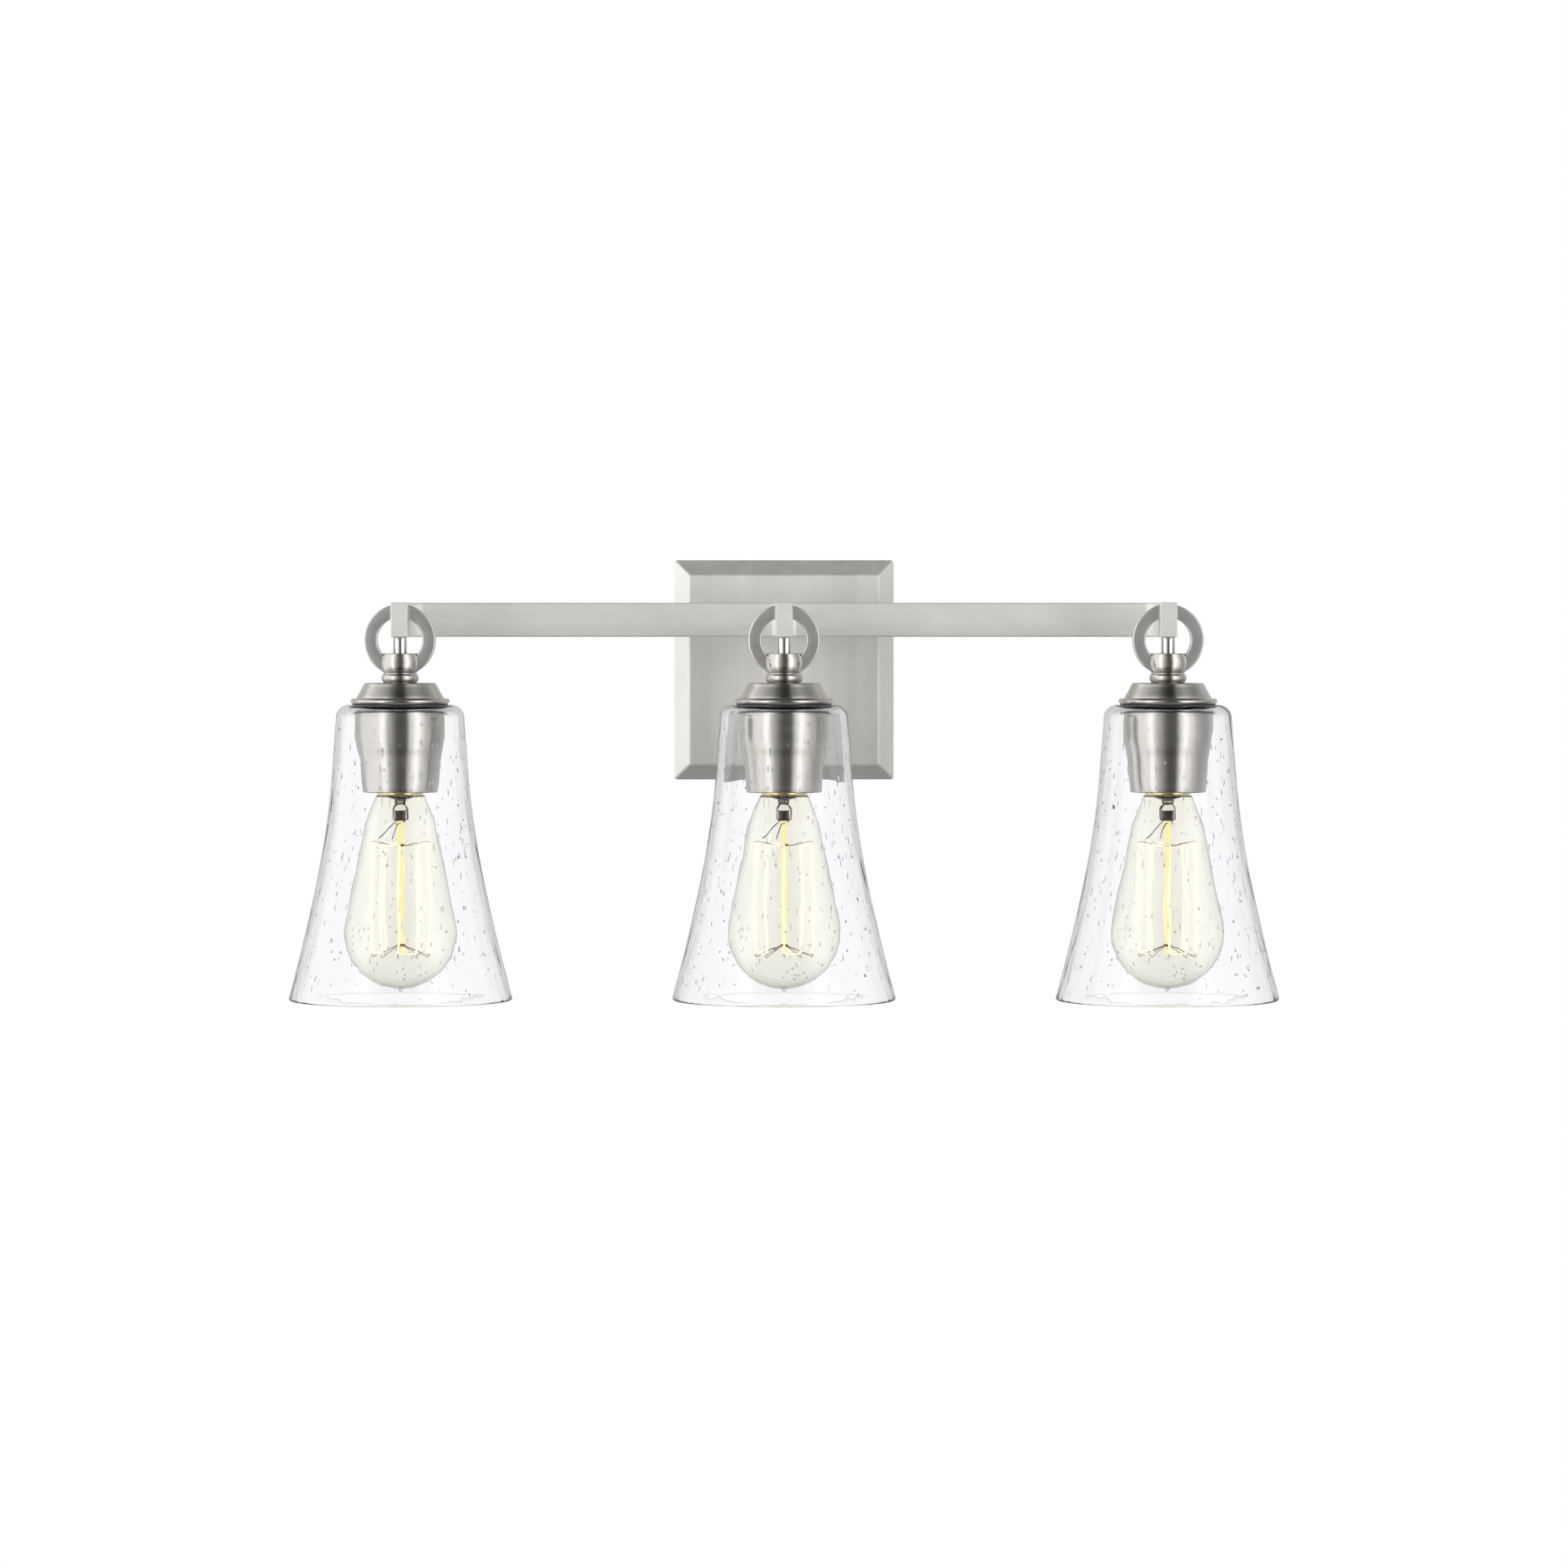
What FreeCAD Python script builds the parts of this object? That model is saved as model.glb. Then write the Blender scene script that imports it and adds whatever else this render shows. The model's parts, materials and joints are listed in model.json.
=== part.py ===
"""Three-light vanity bar: a square wall plate, a flat bar bent forward at both ends, and three hanging
lamps with clear bell shades and screw-in bulbs.

Row frame, in millimetres: the origin is the centre of the wall plate's back face, on the wall.
+Z is up, +X is along the bar to the right, and the room is towards -Y.
"""
import FreeCAD
import Part
import Sketcher
import math
import os

Vector = FreeCAD.Vector

# ----------------------------------------------------------------------------------------------------
# Driving dimensions, in millimetres. Every one is a cell of the spreadsheet and may be changed alone.
# ----------------------------------------------------------------------------------------------------
DIMENSIONS = [
    # the frame
    ("spacing", 216.5, "from one lamp axis to the next"),
    ("reach", 102.0, "from the wall to the lamp axes"),
    ("bar_centre", 29.0, "height of the bar's centre above the plate's centre"),
    ("bar_height", 19.5, "height of the rectangular tube"),
    ("bar_thick", 9.5, "thickness of the rectangular tube"),
    ("bar_standoff", 39.5, "from the wall to the back of the bar"),
    ("tube_wall", 1.2, "wall of the rectangular tube"),
    ("tube_edge", 0.8, "rounding along the tube's long edges"),
    ("bend_inside", 6.0, "inside radius of the bar's end bends"),
    ("weld_radius", 2.6, "fillet where the middle arm meets the bar"),
    ("nose", 9.0, "from the lamp axis to the front of an arm"),
    ("end_cap", 1.5, "thickness of the cap that closes an arm"),
    ("foot_width", 30.0, "width of the middle arm's foot on the plate"),
    ("foot_thick", 5.0, "thickness of that foot"),
    ("foot_screw_pitch", 20.0, "between the two screws that hold the foot"),
    ("wire_slot_width", 5.0, "width of the wire slot through foot and plate"),
    # the wall plate and its strap
    ("plate_size", 127.0, "side of the square wall plate"),
    ("plate_depth", 22.0, "from the wall to the plate's face"),
    ("plate_rim", 9.0, "straight part of the plate's sides"),
    ("plate_bevel", 8.8, "how far the bevel leans in"),
    ("plate_wall", 1.2, "sheet thickness of the plate"),
    ("plate_corner", 2.0, "rounding of the plate's corners and of its face's edges"),
    ("strap_width", 22.0, "height of the mounting strap"),
    ("strap_thick", 2.0, "thickness of the mounting strap"),
    ("strap_tab", 9.0, "depth of the strap's folded ends"),
    ("strap_gap", 0.3, "between the strap's ends and the plate"),
    ("slot_near", 69.85, "smallest screw spacing of the wall box"),
    ("slot_far", 88.9, "largest screw spacing of the wall box"),
    ("slot_width", 4.5, "width of the strap's slots"),
    ("screw_thread", 4.0, "diameter of the small machine screws"),
    ("screw_head", 7.4, "diameter of their heads"),
    ("screw_head_thick", 2.4, "height of their heads"),
    ("plate_screw_y", 5.0, "from the wall to the side screws"),
    ("ground_x", 24.0, "from the strap's centre to the ground screw"),
    # the hanging ring, stem and neck
    ("ring_outer", 40.2, "outside diameter of the ring"),
    ("ring_inner", 25.5, "inside diameter of the ring"),
    ("ring_thick", 8.0, "thickness of the ring"),
    ("ring_edge", 0.8, "rounding of the ring's edges"),
    ("ring_inset", 1.0, "from the top of the arm down to the top of the ring"),
    ("stem_outer", 7.8, "diameter of the stem"),
    ("stem_bore", 4.2, "wire bore of the stem"),
    ("spigot", 5.9, "diameter of the stem's threaded end"),
    ("stem_seat", 4.3, "how deep the stem sits in the neck"),
    ("stem_nut", 2.4, "thickness of the nut inside the arm"),
    ("neck_bridge", 0.85, "inside the neck, from the ring up to the stem's end"),
    ("neck_floor", 4.15, "from the neck's foot to the ring inside it"),
    ("neck_foot", 9.3, "radius of the neck's foot"),
    ("neck_bead_height", 5.4, "height of the bead at the foot"),
    ("neck_bead_round", 3.1, "radius of that bead's round"),
    ("neck_waist", 9.4, "radius of the waist above the bead"),
    ("neck_top", 10.1, "radius of the neck's flat top"),
    ("neck_ball_round", 12.0, "radius of the swelling between waist and top"),
    ("nipple", 9.6, "diameter of the threaded nipple"),
    ("nipple_bore", 6.4, "bore of the threaded nipple"),
    ("nipple_seat", 3.6, "how far the nipple screws into the neck"),
    ("thread_gap", 0.1, "radial clearance of a threaded or sliding fit"),
    # the cap over the shade
    ("cap_height", 11.8, "height of the cap"),
    ("cap_top", 20.4, "radius of the cap's top"),
    ("cap_top_round", 0.9, "rounding of the cap's top edge"),
    ("cap_cone", 24.6, "radius at the foot of the cap's cone"),
    ("cap_cone_height", 8.6, "height of the cone"),
    ("cap_lip", 27.3, "radius of the cap's lip before its bulge"),
    ("cap_lip_round", 1.9, "radius of the lip's rolled edge"),
    ("cap_wall", 1.0, "sheet thickness of the cap"),
    ("gasket", 0.5, "thickness of the gasket on the glass"),
    # the glass shade
    ("shade_wall", 3.0, "thickness of the glass"),
    ("shade_hole", 20.8, "radius of the hole in the shade's top"),
    ("shade_flat", 29.4, "radius where the shoulder starts"),
    ("shoulder_radius", 36.2, "radius below the shoulder"),
    ("shoulder_drop", 8.2, "height of the shoulder"),
    ("shoulder_round", 7.6, "radius of the shoulder's round"),
    ("body_radius", 38.0, "radius where the flare starts"),
    ("body_drop", 33.0, "from the top to where the flare starts"),
    ("flare_radius", 48.6, "radius half way down the flare"),
    ("flare_drop", 106.3, "from the top to there"),
    ("flare_bend", 510.0, "bend radius of the upper flare"),
    ("rim_radius", 63.1, "radius of the open rim"),
    ("shade_height", 167.0, "height of the shade"),
    ("rim_bend", 1100.0, "bend radius of the lower flare"),
    # the metal husk that holds the shade, and the lampholder inside it
    ("husk_height", 46.4, "height of the husk"),
    ("husk_top", 25.1, "radius of the husk's upper part"),
    ("husk_straight", 13.0, "height of that part"),
    ("husk_mid", 24.0, "radius in the middle of the swan curve"),
    ("husk_mid_drop", 22.3, "from the top to there"),
    ("husk_low", 22.6, "radius at the foot of the swan curve"),
    ("husk_low_drop", 30.5, "from the top to there"),
    ("husk_curve", 46.0, "radius of both halves of the swan curve"),
    ("husk_end", 21.25, "radius at the husk's open end"),
    ("husk_wall", 1.2, "thickness of the husk"),
    ("husk_flange", 3.0, "thickness of the husk's threaded top"),
    ("collar_radius", 20.0, "radius of the threaded collar"),
    ("collar_wall", 1.6, "wall of the collar"),
    ("collar_drop", 4.2, "from the cap's inside to the collar's shoulder"),
    ("collar_hub", 8.0, "radius of the collar's hub"),
    ("husk_travel", 7.5, "thread left below the husk's top"),
    ("socket_gap", 0.2, "between the collar and the lampholder"),
    ("socket_recess", 6.9, "from the husk's end up to the lampholder"),
    ("socket_bore", 14.2, "radius of the lampholder's bore"),
    ("liner_inside", 13.4, "inside radius of the brass screw liner"),
    ("liner_wall", 0.6, "thickness of that liner"),
    ("contact_height", 3.2, "height of the centre contact"),
    # the bulb
    ("bulb_show", 1.1, "brass that shows below the husk"),
    ("base_radius", 13.1, "radius of the bulb's brass base"),
    ("base_wall", 0.4, "thickness of the brass"),
    ("base_thread", 20.5, "height of the brass"),
    ("base_height", 26.6, "from the brass's edge to the tip"),
    ("base_tip", 3.6, "radius of the contact tip"),
    ("base_tip_height", 2.0, "height of the contact tip"),
    ("envelope_wall", 0.8, "thickness of the bulb's glass"),
    ("envelope_neck", 14.4, "radius of the bulb's shoulder"),
    ("envelope_neck_drop", 2.2, "from the brass's edge down to the shoulder"),
    ("envelope_upper", 19.8, "radius at the top of the bulb's cone"),
    ("envelope_upper_drop", 16.3, "from the brass's edge down to there"),
    ("envelope_sphere", 31.8, "radius of the bulb's round end"),
    ("envelope_tangent", 11.6, "angle where cone and round end meet, in degrees"),
    ("envelope_drop", 78.2, "from the brass's edge down to the round end's centre"),
    ("envelope_tip", 2.2, "length of the sealed tip"),
    ("press_radius", 5.0, "radius of the glass stem press"),
    ("press_drop", 15.0, "from the brass's edge to the end of the press"),
    ("rod_radius", 1.7, "radius of the glass rod"),
    ("rod_drop", 90.5, "from the brass's edge to the end of the rod"),
    ("cage_radius", 16.6, "radius of the filament cage"),
    ("cage_top", 27.0, "from the brass's edge to the upper supports"),
    ("cage_bottom", 90.0, "from the brass's edge to the lower supports"),
    ("filament", 1.0, "diameter of the filament's coiled strands"),
    ("support_wire", 0.4, "diameter of the support and lead-in wires, thinner than a strand"),
    ("filament_count", 10, "number of upright strands"),
    # the wiring
    ("lead", 1.7, "diameter of one insulated lead"),
    ("lead_pitch", 1.9, "between leads that run side by side"),
    ("lead_bend", 3.0, "bend radius of a lead"),
    ("lead_sweep", 10.0, "bend radius of a lead in the bar's bends"),
    ("connector_radius", 5.6, "radius of a wire connector"),
    ("connector_length", 20.0, "length of a wire connector"),
    ("connector_x", 13.0, "from the plate's middle to a wire connector"),
    ("connector_drop", 17.0, "from the plate's centre down to the connectors"),
    ("ground_lead", 1.6, "diameter of the bare ground wire"),
]

# Places that follow from the dimensions, as expressions on the spreadsheet.
BAR_TOP = "(Dims.bar_centre + Dims.bar_height / 2)"
BAR_BOTTOM = "(Dims.bar_centre - Dims.bar_height / 2)"
RING_Z = f"({BAR_TOP} - Dims.ring_inset - Dims.ring_outer / 2)"
CAP_TOP = f"({RING_Z} - Dims.ring_outer / 2 - Dims.neck_floor)"
RING_WALL = "(Dims.ring_outer / 2 - Dims.ring_inner / 2)"
NECK_HEIGHT = f"(Dims.neck_floor + {RING_WALL} + Dims.neck_bridge + Dims.stem_seat)"
NECK_TOP = f"({CAP_TOP} + {NECK_HEIGHT})"
COLLAR_TOP = f"({CAP_TOP} - Dims.cap_wall)"
SHADE_TOP = f"({CAP_TOP} - Dims.cap_height - Dims.gasket)"
HUSK_TOP = f"({SHADE_TOP} - Dims.shade_wall)"
HUSK_END = f"({HUSK_TOP} - Dims.husk_height)"
BULB_EDGE = f"({HUSK_END} - Dims.bulb_show)"
BULB_TIP = f"({BULB_EDGE} + Dims.base_height)"
SOCKET_FLOOR = f"({BULB_TIP} + Dims.contact_height)"
SOCKET_END = f"({HUSK_END} + Dims.socket_recess)"
ARM_LENGTH = "(Dims.reach - Dims.bar_standoff + Dims.nose - Dims.end_cap)"
HALF_THICK = "(Dims.bar_thick / 2)"
WIRE_SLOT_HEIGHT = "(Dims.bar_height - 2 * Dims.tube_wall - 0.4)"

SIDES = {"left": -1, "centre": 0, "right": 1}

doc = FreeCAD.newDocument("vanity_light")
sheet = doc.addObject("Spreadsheet::Sheet", "Dims")
for row, (alias, size, note) in enumerate(DIMENSIONS, start=1):
    sheet.set(f"A{row}", alias)
    sheet.set(f"B{row}", str(size))
    sheet.set(f"C{row}", note)
    sheet.setAlias(f"B{row}", alias)
doc.recompute()

subparts = []  # the objects that are exported, one file each


# ----------------------------------------------------------------------------------------------------
# Small tools for sketches and features
# ----------------------------------------------------------------------------------------------------
def size_of(expression):
    """The value of an expression on the spreadsheet, in millimetres."""
    return float(sheet.evalExpression(expression))


def new_body(label, several=False):
    """An empty PartDesign body. several lets it hold more than one solid."""
    body = doc.addObject("PartDesign::Body", "Body_" + label)
    body.Label = label
    body.AllowCompound = several
    return body


def new_sketch(body, plane, offset=None):
    """A sketch on one of the body's origin planes, moved along the plane's normal by an expression."""
    sketch = body.newObject("Sketcher::SketchObject", body.Name + "_sketch")
    support = [f for f in body.Origin.OriginFeatures if f.Role == plane + "_Plane"][0]
    sketch.AttachmentSupport = [(support, "")]
    sketch.MapMode = "FlatFace"
    if offset:
        sketch.setExpression("AttachmentOffset.Base.z", offset)
    return sketch


def pin_point(sketch, geometry, point, name, x, y):
    """Holds a point of the sketch at x, y, given as expressions."""
    for axis, other, kind, expression in (("x", -2, "DistanceX", x), ("y", -1, "DistanceY", y)):
        if expression == "0":
            sketch.addConstraint(Sketcher.Constraint("PointOnObject", geometry, point, other))
            continue
        number = sketch.addConstraint(
            Sketcher.Constraint(kind, -1, 1, geometry, point, size_of(expression))
        )
        sketch.renameConstraint(number, f"{name}_{axis}")
        sketch.setExpression(f"Constraints.{name}_{axis}", expression)


def hold_radius(sketch, geometry, name, expression):
    """Holds a circle's or arc's radius at an expression."""
    number = sketch.addConstraint(Sketcher.Constraint("Radius", geometry, size_of(expression)))
    sketch.renameConstraint(number, name)
    sketch.setExpression(f"Constraints.{name}", expression)


def arc_between(start, end, radius, centre_on_left):
    """The short arc from start to end. Its centre is on the left or the right of the way there."""
    middle = (start + end) / 2
    half = (end - start) / 2
    rise = math.sqrt(max(radius**2 - half.Length**2, 0.0))
    to_left = Vector(-half.y, half.x, 0).normalize()
    centre = middle + to_left * (rise if centre_on_left else -rise)
    first, last = (start, end) if centre_on_left else (end, start)
    angles = [math.atan2(p.y - centre.y, p.x - centre.x) for p in (first, last)]
    if angles[1] < angles[0]:
        angles[1] += 2 * math.pi
    circle = Part.Circle(centre, Vector(0, 0, 1), radius)
    return Part.ArcOfCircle(circle, angles[0], angles[1])


def outline(body, plane, points, offset=None):
    """A closed outline. A point is (x, y), or (x, y, radius, side) where an arc starts, with its centre
    on that side, "left" or "right", of the way to the next point. Sizes are expressions."""
    sketch = new_sketch(body, plane, offset)
    corners = [Vector(size_of(p[0]), size_of(p[1]), 0) for p in points]
    ends = []
    for i, point in enumerate(points):
        start, end = corners[i], corners[(i + 1) % len(points)]
        if len(point) == 2:
            edge = sketch.addGeometry(Part.LineSegment(start, end), False)
            ends.append((edge, 1, 2))
        else:
            left = point[3] == "left"
            arc = arc_between(start, end, size_of(point[2]), left)
            edge = sketch.addGeometry(arc, False)
            ends.append((edge, 1, 2) if left else (edge, 2, 1))
            hold_radius(sketch, edge, f"radius{i}", point[2])
    for i, point in enumerate(points):
        edge, start, _ = ends[i]
        before, _, before_end = ends[i - 1]
        sketch.addConstraint(Sketcher.Constraint("Coincident", before, before_end, edge, start))
        pin_point(sketch, edge, start, f"point{i}", point[0], point[1])
    return sketch


def rectangle(body, plane, left, bottom, right, top, offset=None):
    """A rectangle between four expressions."""
    corners = [(left, bottom), (right, bottom), (right, top), (left, top)]
    return outline(body, plane, corners, offset)


def circles(body, plane, rounds, offset=None):
    """Circles, each (x, y, radius) as expressions."""
    sketch = new_sketch(body, plane, offset)
    for i, (x, y, radius) in enumerate(rounds):
        centre = Vector(size_of(x), size_of(y), 0)
        circle = Part.Circle(centre, Vector(0, 0, 1), size_of(radius))
        edge = sketch.addGeometry(circle, False)
        pin_point(sketch, edge, 3, f"centre{i}", x, y)
        hold_radius(sketch, edge, f"radius{i}", radius)
    return sketch


def feature(body, kind, sketch, length=None, side="Symmetric", backwards=False):
    """A Pad, Pocket or Revolution of a sketch."""
    made = body.newObject("PartDesign::" + kind, body.Name + "_" + kind)
    made.Profile = sketch
    if length:
        made.setExpression("Length", length)
        made.SideType = side
        made.Reversed = backwards
    else:
        made.ReferenceAxis = (sketch, ["V_Axis"])
        made.Angle = 360.0
    sketch.Visibility = False
    doc.recompute()
    return made


def turned(label, profile, several=False):
    """A body turned about its own vertical axis from one profile."""
    body = new_body(label, several)
    feature(body, "Revolution", outline(body, "XZ", profile))
    return body


def rounded(body, wanted, radius):
    """Rounds the edges of the body's tip that wanted(edge) picks."""
    base = body.Tip
    names = [f"Edge{i}" for i, edge in enumerate(base.Shape.Edges, start=1) if wanted(edge)]
    fillet = body.newObject("PartDesign::Fillet", body.Name + "_Fillet")
    fillet.Base = (base, names)
    fillet.setExpression("Radius", radius)
    doc.recompute()
    return fillet


def place(thing, x="0", y="0", z="0"):
    """Puts a sub-part in the row frame."""
    for axis, expression in (("x", x), ("y", y), ("z", z)):
        thing.setExpression(f"Placement.Base.{axis}", expression)
    return thing


def keep(thing):
    """Marks an object as a sub-part that is written to its own file."""
    subparts.append(thing)
    return thing


def group(label, members):
    """One sub-part of several separate solids."""
    compound = doc.addObject("Part::Compound", "Group_" + label)
    compound.Label = label
    compound.Links = members
    return keep(compound)


def lamp_x(side):
    """The x of a lamp's axis, as an expression."""
    return {-1: "-Dims.spacing", 0: "0", 1: "Dims.spacing"}[SIDES[side]]


def on_lamp(thing, side, z):
    """Puts a lamp's piece on its axis, and keeps it."""
    return keep(place(thing, lamp_x(side), "-Dims.reach", z))


# ----------------------------------------------------------------------------------------------------
# Wall plate, strap and their screws
# ----------------------------------------------------------------------------------------------------
def backplate():
    """Square pressed pan with a bevelled front, open at the wall."""
    body = new_body("backplate")
    half, face = "(Dims.plate_size / 2)", "(Dims.plate_size / 2 - Dims.plate_bevel)"
    feature(body, "Pad", square(body, half), "Dims.plate_rim", "One side")
    bevel = [square(body, half, "Dims.plate_rim"), square(body, face, "Dims.plate_depth")]
    loft(body, "AdditiveLoft", bevel)
    front = size_of("Dims.plate_depth")
    rounded(
        body,
        lambda e: abs(e.Vertexes[0].Y - e.Vertexes[1].Y) > 1 or e.Vertexes[0].Y < 0.01 - front,
        "Dims.plate_corner",
    )
    half, face = f"({half} - Dims.plate_wall)", f"({face} - 0.7 * Dims.plate_wall)"
    feature(body, "Pocket", square(body, half), "2 * Dims.plate_rim")
    inside = "(Dims.plate_depth - Dims.plate_wall)"
    loft(body, "SubtractiveLoft", [square(body, half, "Dims.plate_rim"), square(body, face, inside)])
    through = "2 * (Dims.plate_depth + 1)"
    slot_x, slot_z = "Dims.wire_slot_width / 2", f"{WIRE_SLOT_HEIGHT} / 2"
    slot = rectangle(
        body, "XZ",
        f"-{slot_x}", f"Dims.bar_centre - {slot_z}", slot_x, f"Dims.bar_centre + {slot_z}",
    )
    feature(body, "Pocket", slot, through)
    screw = "Dims.screw_thread / 2 + Dims.thread_gap"
    holes = circles(
        body, "XZ",
        [(f"{sign}Dims.foot_screw_pitch / 2", "Dims.bar_centre", screw) for sign in ("-", "")],
    )
    feature(body, "Pocket", holes, through)
    side = circles(body, "YZ", [("-Dims.plate_screw_y", "0", screw)])
    feature(body, "Pocket", side, "Dims.plate_size + 2")
    keep(body)


def square(body, half, offset=None):
    """A square of half side half about the body's origin, seen from the room."""
    return rectangle(body, "XZ", f"-{half}", f"-{half}", half, half, offset)


def loft(body, kind, sketches):
    """An AdditiveLoft or SubtractiveLoft through two sketches."""
    made = body.newObject("PartDesign::" + kind, body.Name + "_" + kind)
    made.Profile = sketches[0]
    made.Sections = [sketches[1]]
    doc.recompute()
    return made


def crossbar():
    """Steel strap across the wall box, with slots for its screws and folded ends for the side screws."""
    end = "(Dims.plate_size / 2 - Dims.plate_wall - Dims.strap_gap)"
    inner = f"({end} - Dims.strap_thick)"
    body = new_body("crossbar")
    plan = [
        (f"-{end}", "0"), (f"-{end}", "-Dims.strap_tab"),
        (f"-{inner}", "-Dims.strap_tab"), (f"-{inner}", "-Dims.strap_thick"),
        (inner, "-Dims.strap_thick"), (inner, "-Dims.strap_tab"),
        (end, "-Dims.strap_tab"), (end, "0"),
    ]
    feature(body, "Pad", outline(body, "XY", plan), "Dims.strap_width")
    radius, depth = "Dims.slot_width / 2", "4 * Dims.strap_thick"
    for sign in ("-", ""):
        ends = [f"{sign}Dims.slot_near / 2", f"{sign}Dims.slot_far / 2"]
        left, right = sorted(ends, key=size_of)
        slot = rectangle(body, "XZ", left, f"-{radius}", right, radius)
        feature(body, "Pocket", slot, depth)
        feature(body, "Pocket", circles(body, "XZ", [(end, "0", radius) for end in ends]), depth)
    screw = "Dims.screw_thread / 2 + Dims.thread_gap"
    holes = circles(body, "XZ", [("Dims.ground_x", "0", screw)])
    feature(body, "Pocket", holes, "4 * Dims.strap_thick")
    side = circles(body, "YZ", [("-Dims.plate_screw_y", "0", screw)])
    feature(body, "Pocket", side, "Dims.plate_size + 2", "Symmetric")
    keep(body)


def plate_screws():
    """Two headless screws, flush with the plate's sides, that hold it to the strap's folded ends."""
    length = "(Dims.plate_wall + Dims.strap_gap + Dims.strap_thick + 1.2)"
    screws = []
    for side, sign in (("left", "-"), ("right", "")):
        screw = new_body("plate_screw_" + side)
        profile = circles(screw, "YZ", [("0", "0", "Dims.screw_thread / 2")])
        feature(screw, "Pad", profile, length, "One side", side == "right")
        slot = rectangle(screw, "XZ", "-0.8", "-0.4", "0.8", "0.4")
        feature(screw, "Pocket", slot, "2 * Dims.screw_thread")
        place(screw, f"{sign}Dims.plate_size / 2", "-Dims.plate_screw_y", "0")
        screws.append(screw)
    group("plate_screws", screws)


def headed_screw(label, shank):
    """Pan-head screw along y: its head is in the room's direction, and its shank points to +Y."""
    screw = new_body(label)
    head = circles(screw, "XZ", [("0", "0", "Dims.screw_head / 2")])
    feature(screw, "Pad", head, "Dims.screw_head_thick", "One side")
    rounded(screw, lambda e: abs(e.CenterOfMass.y) > 1, "0.7")
    shaft = circles(screw, "XZ", [("0", "0", "Dims.screw_thread / 2")])
    feature(screw, "Pad", shaft, shank, "One side", True)
    slot = rectangle(screw, "XY", "-Dims.screw_head", "-2 * Dims.screw_head_thick",
                     "Dims.screw_head", "-Dims.screw_head_thick + 1")
    feature(screw, "Pocket", slot, "0.9")
    return screw


def small_screws():
    """The ground screw on the strap, and the two screws that hold the middle arm's foot from inside."""
    ground = headed_screw("ground_screw", "Dims.strap_thick")
    keep(place(ground, "Dims.ground_x", "-(Dims.strap_thick + Dims.ground_lead)", "0"))
    inside = "-(Dims.plate_depth - Dims.plate_wall)"
    screws = []
    for side, sign in (("left", "-"), ("right", "")):
        screw = headed_screw("foot_screw_" + side, "Dims.plate_wall + Dims.foot_thick - 1")
        place(screw, f"{sign}Dims.foot_screw_pitch / 2", inside, "Dims.bar_centre")
        screw.Placement.Rotation = FreeCAD.Rotation(Vector(0, 0, 1), 180)
        screws.append(screw)
    group("foot_screws", screws)


# ----------------------------------------------------------------------------------------------------
# The bar and its arms
# ----------------------------------------------------------------------------------------------------
def tube_plan(inset, end):
    """Plan of one bent half of the bar, on the right of the middle arm, taken in by inset all round.
    Its back is at y = 0, and it runs from the middle arm's side to the arm's end at y = -end."""
    start = HALF_THICK
    outer, inner = f"(Dims.spacing + {HALF_THICK} - {inset})", f"(Dims.spacing - {HALF_THICK} + {inset})"
    back, front = f"(-{inset})", f"(-Dims.bar_thick + {inset})"
    small, large = f"(Dims.bend_inside + {inset})", f"(Dims.bend_inside + Dims.bar_thick - {inset})"
    centre_x = f"(Dims.spacing - {HALF_THICK} - Dims.bend_inside)"
    centre_y = "(-Dims.bar_thick - Dims.bend_inside)"
    return [
        (start, back), (start, front),
        (centre_x, front, small, "right"), (inner, centre_y),
        (inner, f"-{end}"), (outer, f"-{end}"),
        (outer, centre_y, large, "left"), (centre_x, back),
    ]


def mirrored(points):
    """The same outline on the other side of the middle arm."""
    swap = {"left": "right", "right": "left"}
    return [(f"-{p[0]}", p[1]) + ((p[2], swap[p[3]]) if len(p) == 4 else ()) for p in points]


def long_edges(height):
    """Picks the edges that run along the tube's plan, at its top and bottom."""
    half = height / 2

    def wanted(edge):
        level = all(abs(abs(v.Z) - half) < 0.01 for v in edge.Vertexes)
        return level and (edge.Length > 12 or edge.Curve.TypeId == "Part::GeomCircle")

    return wanted


def half_bars():
    """The bar's two bent halves, each a rectangular tube welded to the middle arm's side."""
    wall = "Dims.tube_wall"
    for side, turn in (("left", mirrored), ("right", list)):
        body = new_body("light_bar_" + side)
        feature(body, "Pad", outline(body, "XY", turn(tube_plan("0", ARM_LENGTH))), "Dims.bar_height")
        rounded(body, long_edges(size_of("Dims.bar_height")), "Dims.tube_edge")
        hollow = turn(tube_plan(wall, f"({ARM_LENGTH} + 1)"))
        hollow[0] = (hollow[0][0].replace(HALF_THICK, f"({HALF_THICK} - 1)"), hollow[0][1])
        hollow[1] = (hollow[1][0].replace(HALF_THICK, f"({HALF_THICK} - 1)"), hollow[1][1])
        feature(body, "Pocket", outline(body, "XY", hollow), "Dims.bar_height - 2 * Dims.tube_wall")
        stem_hole(body, lamp_x(side))
        keep(place(body, "0", "-Dims.bar_standoff", "Dims.bar_centre"))


def stem_hole(body, x):
    """The hole for the stem's threaded end in an arm's underside."""
    where = (x, "-(Dims.reach - Dims.bar_standoff)", "Dims.spigot / 2 + Dims.thread_gap")
    feature(body, "Pocket", circles(body, "XY", [where]), "Dims.bar_height", "One side")


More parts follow.
